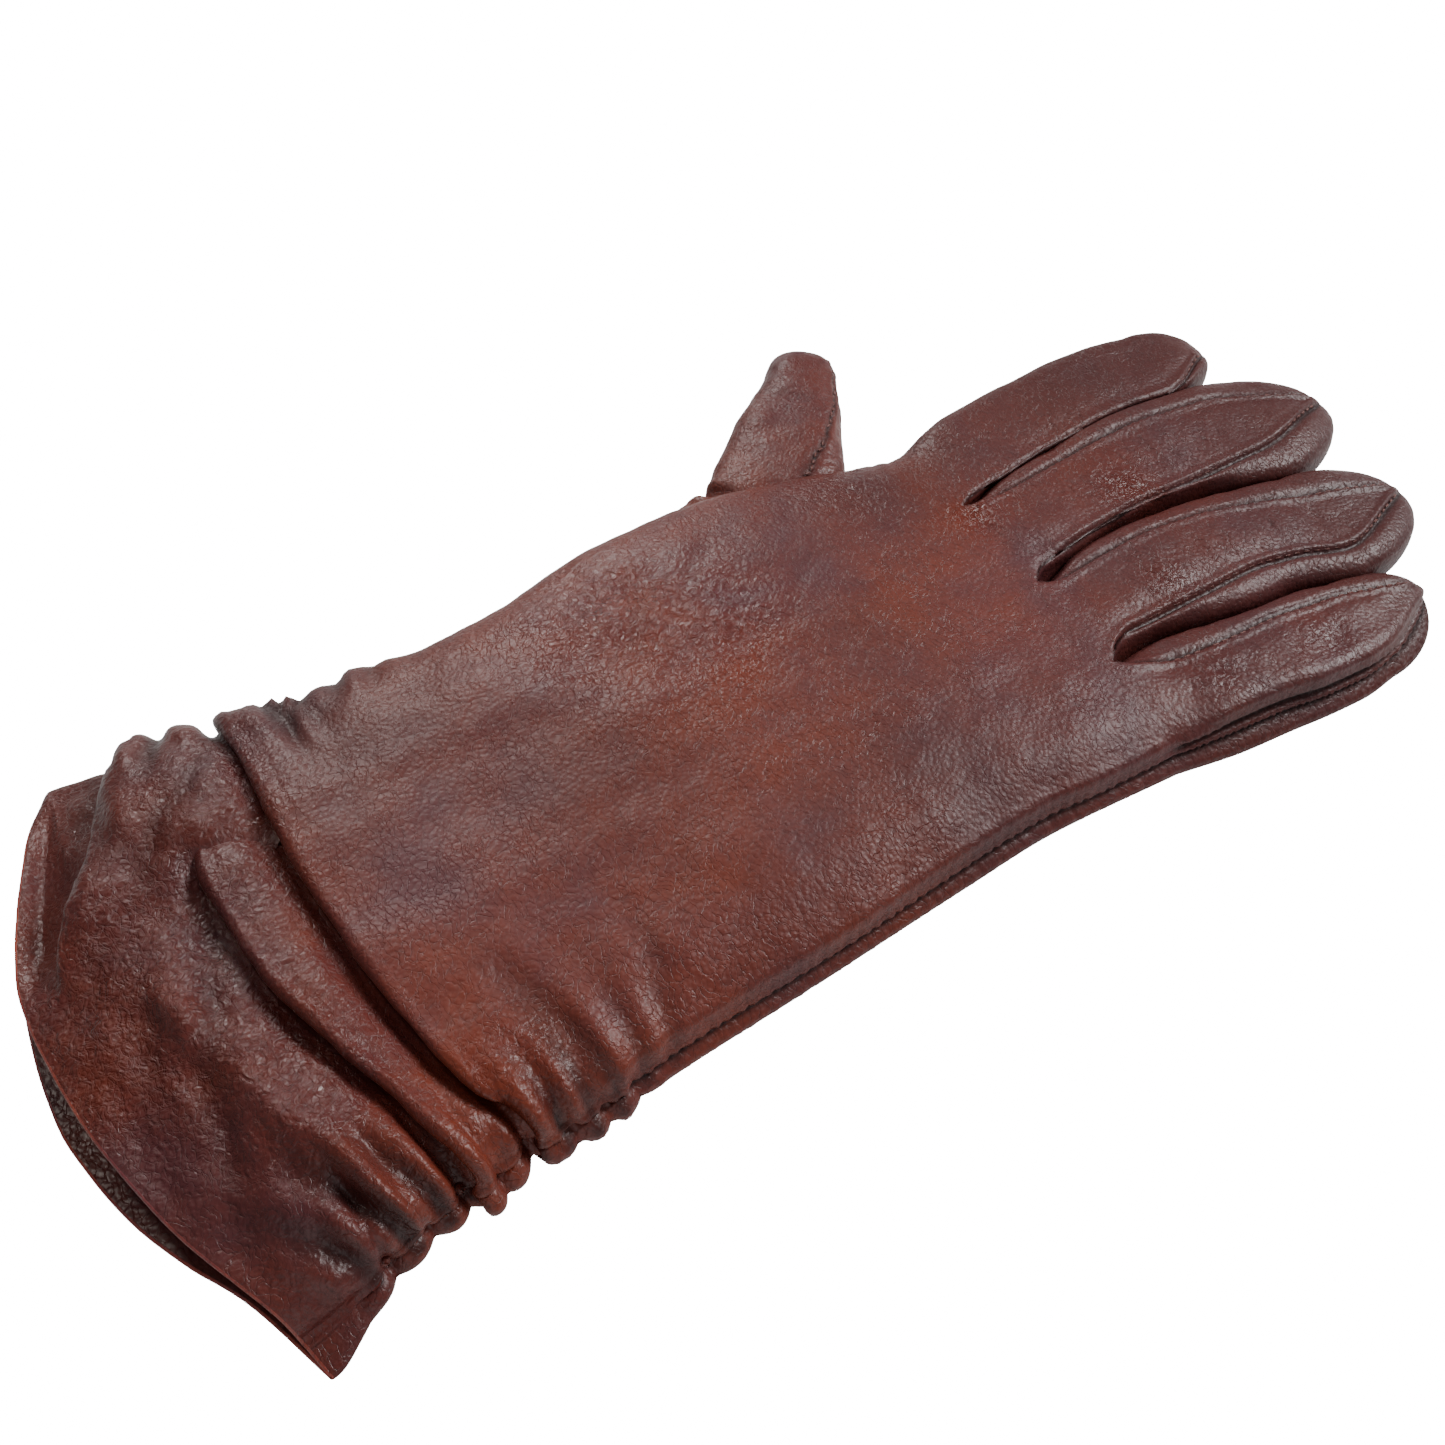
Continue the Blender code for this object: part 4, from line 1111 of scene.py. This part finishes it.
class GLOVE_looks(bpy.types.PropertyGroup):
    """Colours and grain."""

    leather: bpy.props.FloatVectorProperty(
        name="Leather", description="Main red-brown",
        default=(0.135, 0.025, 0.013), subtype="COLOR", min=0, max=1
    )
    smudge: bpy.props.FloatVectorProperty(
        name="Smudge", description="Purple-grey patches",
        default=(0.078, 0.020, 0.022), subtype="COLOR", min=0, max=1
    )
    dark: bpy.props.FloatVectorProperty(
        name="Dark", description="Darker patches and fingertips",
        default=(0.042, 0.011, 0.011), subtype="COLOR", min=0, max=1
    )
    thread: bpy.props.FloatVectorProperty(
        name="Thread", description="Sewing thread", default=(0.15, 0.05, 0.04), subtype="COLOR", min=0, max=1
    )
    lining: bpy.props.FloatVectorProperty(
        name="Lining", description="Knitted lining",
        default=(0.10, 0.045, 0.035), subtype="COLOR", min=0, max=1
    )
    elastic: bpy.props.FloatVectorProperty(
        name="Elastic", description="Wrist elastic",
        default=(0.075, 0.032, 0.026), subtype="COLOR", min=0, max=1
    )
    pebble_scale: bpy.props.FloatProperty(
        name="Pebbles per metre", description="How fine the grain is", default=1250.0, min=300, max=4000
    )


def sizes():
    return bpy.context.scene.glove_sizes


def looks():
    return bpy.context.scene.glove_looks


def finishes():
    """The materials by their plain names, made once."""
    if "glove_leather" not in bpy.data.materials:
        grain = grain_group()
        leather_material("glove_leather", looks(), grain)
        leather_material("glove_hem_leather", looks(), grain, 0.8, 0.26)
        leather_material("glove_cut_edge", looks(), grain, 2.2, 0.4)
        woven_material("glove_thread", looks().thread, 900.0, 0.55)
        woven_material("glove_lining", looks().lining, 420.0, 0.85)
        woven_material("glove_elastic", looks().elastic, 700.0, 0.8)
    names = ("leather", "thread", "hem_leather", "cut_edge", "lining", "elastic")
    return {name: bpy.data.materials["glove_" + name] for name in names}


def leather_and_thread():
    """The two finishes of a stitched piece, in the order of their slots."""
    made = finishes()
    return [made["leather"], made["thread"]]


def stitched(skin, path):
    """Thread stitches a little above a path."""
    lengths = (sizes().stitch_pitch, sizes().stitch_length, sizes().thread_radius)
    skin.stitches(path, (0, 0, 0.3), *(length / MM for length in lengths))


# Name, place, size, power and colour of each lamp; all of them face the glove.
LAMPS = (
    ("key", (0.16, 0.82, 0.58), 0.18, 5.7, (1.0, 0.97, 0.94)),
    ("over", (0.72, -0.05, 0.68), 0.32, 11.8, (1, 1, 1)),
    ("sparkle", (-0.22, 0.55, 0.85), 0.09, 1.6, (1.0, 0.94, 0.86)),
    ("fill", (-0.5, -0.75, 0.4), 0.6, 2.0, (0.97, 0.98, 1.0)),
)
SOFT_LIGHT = 0.16
WHITE = 20.0
PALE = (0.93, 0.93, 0.93, 1)
# Name, height and how far the camera sees through each floor.
FLOORS = (("floor", -0.0002, 0.97), ("backdrop", -0.16, 0.0))
FLOOR_HALF = 4.0
CAMERA_PLACE = (-0.093, -0.125, 0.203)
CAMERA_ANGLES = (52.4, 29.5, -0.38)  # downward, sideways and roll, in degrees


# ---------------------------------------------------------------- operators


class GLOVE_OT_hand(bpy.types.Operator):
    """Back and palm of the hand with its side seam, from the knuckles to the first pleat."""

    bl_idname = "glove.hand"
    bl_label = "Hand"

    def execute(self, context):
        points = hand_rings()
        skin = Skin()
        seam = seam_mark_of_ring() * ease(points[..., 0], -72, -60)
        # The hand's creases also paint shade into the seam mark.
        skin.grid(points, True, surface_marks(points, seam, HAND_CREASES))
        made = skin.mesh("hand_shell", leather_and_thread())
        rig.ride(made, "hand")
        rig.replaces(made, "hand_back_panel", "hand_palm_panel", "side_seam_thread")
        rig.slot(made, "leather")
        return {"FINISHED"}


class GLOVE_OT_fingers(bpy.types.Operator):
    """Four fingers; each lower part bends at the knuckle, and each upper part at the middle."""

    bl_idname = "glove.fingers"
    bl_label = "Fingers"

    def execute(self, context):
        ring = hand_rings()[0]
        joints = {joint["name"]: joint for joint in frame["joints"]}
        for name in FINGERS:
            xs, points, seam = finger_surface(name, ring)
            marks = surface_marks(points, seam)
            cut = int(np.argmin(np.abs(xs - SPLIT_X)))
            base_x = joints[f"{name}_base_fold"]["pos_m"][0] / MM
            fold_x = joints[f"{name}_middle_fold"]["pos_m"][0] / MM
            middle_y = joints[f"{name}_base_fold"]["pos_m"][1]
            nb = BACK_COLUMNS[name]
            parts = (
                ("lower", slice(0, cut + 1), "hand", f"{name}_base", base_x, KNUCKLE_BEND, False),
                ("upper", slice(cut, None), f"{name}_base", f"{name}_tip", fold_x, MIDDLE_BEND, True),
            )
            for half, rows, body, moving, joint_x, bend, capped in parts:
                skin = Skin()
                skin.grid(points[rows], True, marks[rows], capped=capped)
                first, last = rows.start, rows.stop or len(xs) - 9
                for column, inward in ((nb - 1, -1), (0, 1)):
                    if column or name != "index":
                        begin = first + 3 * (half == "lower")
                        stitched(skin, seam_path(points, column, inward, begin, last))
                made = skin.mesh(f"{name}_{half}_shell", leather_and_thread())
                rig.replaces(made, *(n for n in frame["nodes"] if n.startswith(name) and n.endswith(half)))
                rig.slot(made, "leather")
                start, end = (((joint_x + x) * MM, middle_y, 0.0) for x in bend)
                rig.blend(made, body, moving, start, end)
        return {"FINISHED"}


class GLOVE_OT_thumb(bpy.types.Operator):
    """The thumb, set into the side of the hand."""

    bl_idname = "glove.thumb"
    bl_label = "Thumb"

    def execute(self, context):
        points, along, columns, groove = thumb_surface()
        marks = surface_marks(points, groove)
        joints = {joint["name"]: joint for joint in frame["joints"]}
        base, fold = (Vector(joints[f"thumb_{n}_fold"]["pos_m"]) for n in ("base", "middle"))
        forward = (Vector((*THUMB_TIP, 0)) - Vector((*THUMB_ROOT, 0))).normalized()
        cut = int(np.argmin(np.abs(along - THUMB_SPLIT)))
        edge_axis = Vector(joints["thumb_base_fold"]["axis"])
        outward = Vector((-edge_axis.y, edge_axis.x, 0)).normalized()
        if outward.dot(forward) < 0:
            outward = -outward
        base_zone = (base + outward * step * MM for step in THUMB_BASE_BEND)
        fold_zone = (fold + forward * step * MM for step in THUMB_MIDDLE_BEND)
        parts = (
            ("lower", slice(0, cut + 1), "hand", "thumb_base", base_zone, False),
            ("upper", slice(cut, None), "thumb_base", "thumb_tip", fold_zone, True),
        )
        line_points = points[np.arange(len(points)), columns]
        for half, rows, body, moving, zone, capped in parts:
            skin = Skin()
            skin.grid(points[rows], True, marks[rows], capped=capped)
            stop = len(points) - 10 if capped else cut
            path = line_points[rows.start : stop]
            if len(path) > 6:
                stitched(skin, path[2 if capped else 14 :])
            made = skin.mesh(f"thumb_{half}_shell", leather_and_thread())
            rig.replaces(made, *(n for n in frame["nodes"] if n.startswith("thumb") and n.endswith(half)))
            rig.slot(made, "leather")
            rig.blend(made, body, moving, *zone)
        return {"FINISHED"}


class GLOVE_OT_wrist(bpy.types.Operator):
    """The pleated band and the flared cuff with its turned hem."""

    bl_idname = "glove.wrist"
    bl_label = "Wrist"

    def execute(self, context):
        made = finishes()
        points = pleat_rings()
        skin = Skin()
        skin.grid(points, True, surface_marks(points, np.zeros(points.shape[:2])))
        pleat = skin.mesh("pleat_shell", leather_and_thread())
        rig.ride(pleat, "pleat")
        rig.replaces(pleat, "pleat_back_band", "pleat_palm_band")
        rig.slot(pleat, "leather")
        points = cuff_rings()
        skin = Skin()
        # The cuff's creases also paint shade into the seam mark.
        skin.grid(points, True, surface_marks(points, np.zeros(points.shape[:2]), CUFF_CREASES))
        thick = sizes().leather_thickness / MM
        normals = grid_normals(points, True)
        edge = points[-1:]
        inner = points - normals * thick
        outward = (edge - points[-3:-2]) / np.linalg.norm(edge - points[-3:-2], axis=2, keepdims=True)
        turn = np.linspace(0, math.pi, 7)[:, None, None]
        lip = edge + (outward * np.sin(turn) - normals[-1:] * (1 - np.cos(turn))) * thick * 0.5
        flip = facing(points) < 0
        skin.grid(lip, True, None, kind=3, flip=flip)
        skin.grid(np.concatenate([lip[-1:], inner[::-1][1:70]]), True, None, kind=2, flip=flip)
        cuff = skin.mesh("cuff_shell", [*leather_and_thread(), made["hem_leather"], made["cut_edge"]])
        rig.ride(cuff, "cuff")
        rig.replaces(cuff, "cuff_back_panel", "cuff_palm_panel", "cuff_back_facing", "cuff_palm_facing")
        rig.slot(cuff, "leather")
        return {"FINISHED"}


class GLOVE_OT_lining(bpy.types.Operator):
    """The knitted lining inside the hand, and the elastics along the wrist."""

    bl_idname = "glove.lining"
    bl_label = "Lining"

    def execute(self, context):
        start = 40.0
        points = section(start + (reach(HAND_LIP) + 16 - start) * np.linspace(0, 1, 40)[:, None], 1.6)
        points = points - grid_normals(points, True) * 1.3
        skin = Skin()
        skin.grid(points, True, flip=facing(points) > 0)
        made = skin.mesh("hand_lining_tube", [finishes()["lining"]])
        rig.ride(made, "hand")
        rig.replaces(made, "hand_back_lining", "hand_palm_lining")
        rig.slot(made, "lining")
        for name in ("wrist_elastic_thumb_side", "wrist_elastic_little_side"):
            frame["nodes"][name].data.materials.clear()
            frame["nodes"][name].data.materials.append(finishes()["elastic"])
        return {"FINISHED"}


class GLOVE_OT_stage(bpy.types.Operator):
    """Floor, soft light and camera."""

    bl_idname = "glove.stage"
    bl_label = "Stage"

    def execute(self, context):
        scene = context.scene
        scene.world = bpy.data.worlds.new("studio")
        scene.world.use_nodes = True
        tree = scene.world.node_tree
        soft, bright = tree.nodes["Background"], node(tree, "ShaderNodeBackground")
        soft.inputs[0].default_value = (1, 1, 1, 1)
        soft.inputs[1].default_value = SOFT_LIGHT
        bright.inputs[1].default_value = WHITE
        seen = node(tree, "ShaderNodeLightPath").outputs["Is Camera Ray"]
        self.switch(tree, seen, soft, bright, tree.nodes["World Output"])
        for name, height, clear in FLOORS:
            mesh = bpy.data.meshes.new(name)
            corners = [(x * FLOOR_HALF, y * FLOOR_HALF, 0) for x, y in ((-1, -1), (1, -1), (1, 1), (-1, 1))]
            mesh.from_pydata(corners, [], [(0, 1, 2, 3)])
            made = bpy.data.objects.new(name, mesh)
            made.location.z = height
            scene.collection.objects.link(made)
            mesh.materials.append(self.floor_material(name, clear))
            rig.stage(made)
        for name, place, size, power, colour in LAMPS:
            lamp = bpy.data.lights.new(name, "AREA")
            lamp.size = size
            lamp.energy = power
            lamp.color = colour
            made = bpy.data.objects.new(name, lamp)
            scene.collection.objects.link(made)
            made.location = place
            made.rotation_euler = (Vector(place) * -1).to_track_quat("-Z", "Y").to_euler()
        lens = bpy.data.cameras.new("camera")
        lens.lens, lens.sensor_width, lens.clip_start = 34.9, 36.0, 0.01
        camera = bpy.data.objects.new("camera", lens)
        scene.collection.objects.link(camera)
        pitch, yaw, roll = (math.radians(angle) for angle in CAMERA_ANGLES)
        look = Vector((math.cos(pitch) * math.sin(yaw), math.cos(pitch) * math.cos(yaw), -math.sin(pitch)))
        level = Vector((math.cos(yaw), -math.sin(yaw), 0.0))
        upright = level.cross(look)
        right = level * math.cos(roll) + upright * math.sin(roll)
        up = upright * math.cos(roll) - level * math.sin(roll)
        turn = Matrix((right, up, -look)).transposed().to_4x4()
        camera.matrix_world = Matrix.Translation(CAMERA_PLACE) @ turn
        scene.camera = camera
        return {"FINISHED"}

    def switch(self, tree, share, first, second, output):
        """Mix two shaders into the output by a share."""
        mix = node(tree, "ShaderNodeMixShader")
        for socket, source in zip(mix.inputs, (share, first.outputs[0], second.outputs[0])):
            wire(tree, source, socket)
        wire(tree, mix.outputs[0], output.inputs[0])

    def floor_material(self, name, clear):
        """Pale and matt; the camera sees most of the way through the upper one."""
        finish, tree, shader = fresh_material(name)
        for socket, value in {"Base Color": PALE, "Roughness": 0.95, "Specular IOR Level": 0.1}.items():
            wire(tree, value, shader.inputs[socket])
        ray = node(tree, "ShaderNodeLightPath").outputs
        if clear:
            other = node(tree, "ShaderNodeBsdfTransparent")
            share = maths(tree, "MULTIPLY_ADD", ray["Is Camera Ray"], clear, ray["Is Shadow Ray"])
        else:
            other, share = node(tree, "ShaderNodeEmission"), ray["Is Camera Ray"]
            wire(tree, WHITE, other.inputs["Strength"])
        self.switch(tree, share, shader, other, tree.nodes["Material Output"])
        return finish


class GLOVE_PT_panel(bpy.types.Panel):
    """Lists the glove's pieces in the sidebar."""

    bl_label = "Leather glove"
    bl_space_type = "VIEW_3D"
    bl_region_type = "UI"
    bl_category = "Glove"

    def draw(self, context):
        for group in (context.scene.glove_sizes, context.scene.glove_looks):
            for name in group.__annotations__:
                self.layout.prop(group, name)
        for operator in OPERATORS:
            self.layout.operator(operator.bl_idname)


OPERATORS = (GLOVE_OT_hand, GLOVE_OT_fingers, GLOVE_OT_thumb, GLOVE_OT_wrist, GLOVE_OT_lining, GLOVE_OT_stage)
CLASSES = (GLOVE_sizes, GLOVE_looks, *OPERATORS, GLOVE_PT_panel)


def register():
    for made in CLASSES:
        bpy.utils.register_class(made)
    bpy.types.Scene.glove_sizes = bpy.props.PointerProperty(type=GLOVE_sizes)
    bpy.types.Scene.glove_looks = bpy.props.PointerProperty(type=GLOVE_looks)


def unregister():
    del bpy.types.Scene.glove_looks
    del bpy.types.Scene.glove_sizes
    for made in reversed(CLASSES):
        bpy.utils.unregister_class(made)


def main():
    register()
    for operator in OPERATORS:
        group, name = operator.bl_idname.split(".")
        getattr(getattr(bpy.ops, group), name)()
    shells = [o for o in bpy.context.scene.objects if o.type == "MESH" and o.name.endswith("_shell")]
    joined_normals([o for o in shells if not o.name.startswith(("thumb", "cuff", "pleat"))])
    joined_normals([o for o in shells if o.name.startswith("thumb")])
    boxes = {"cad": CAD_BOX, "visual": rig.bounds()}
    with open("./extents.json", "w") as file:
        json.dump({name: [list(corner) for corner in box] for name, box in boxes.items()}, file)


if __name__ == "__main__":
    main()
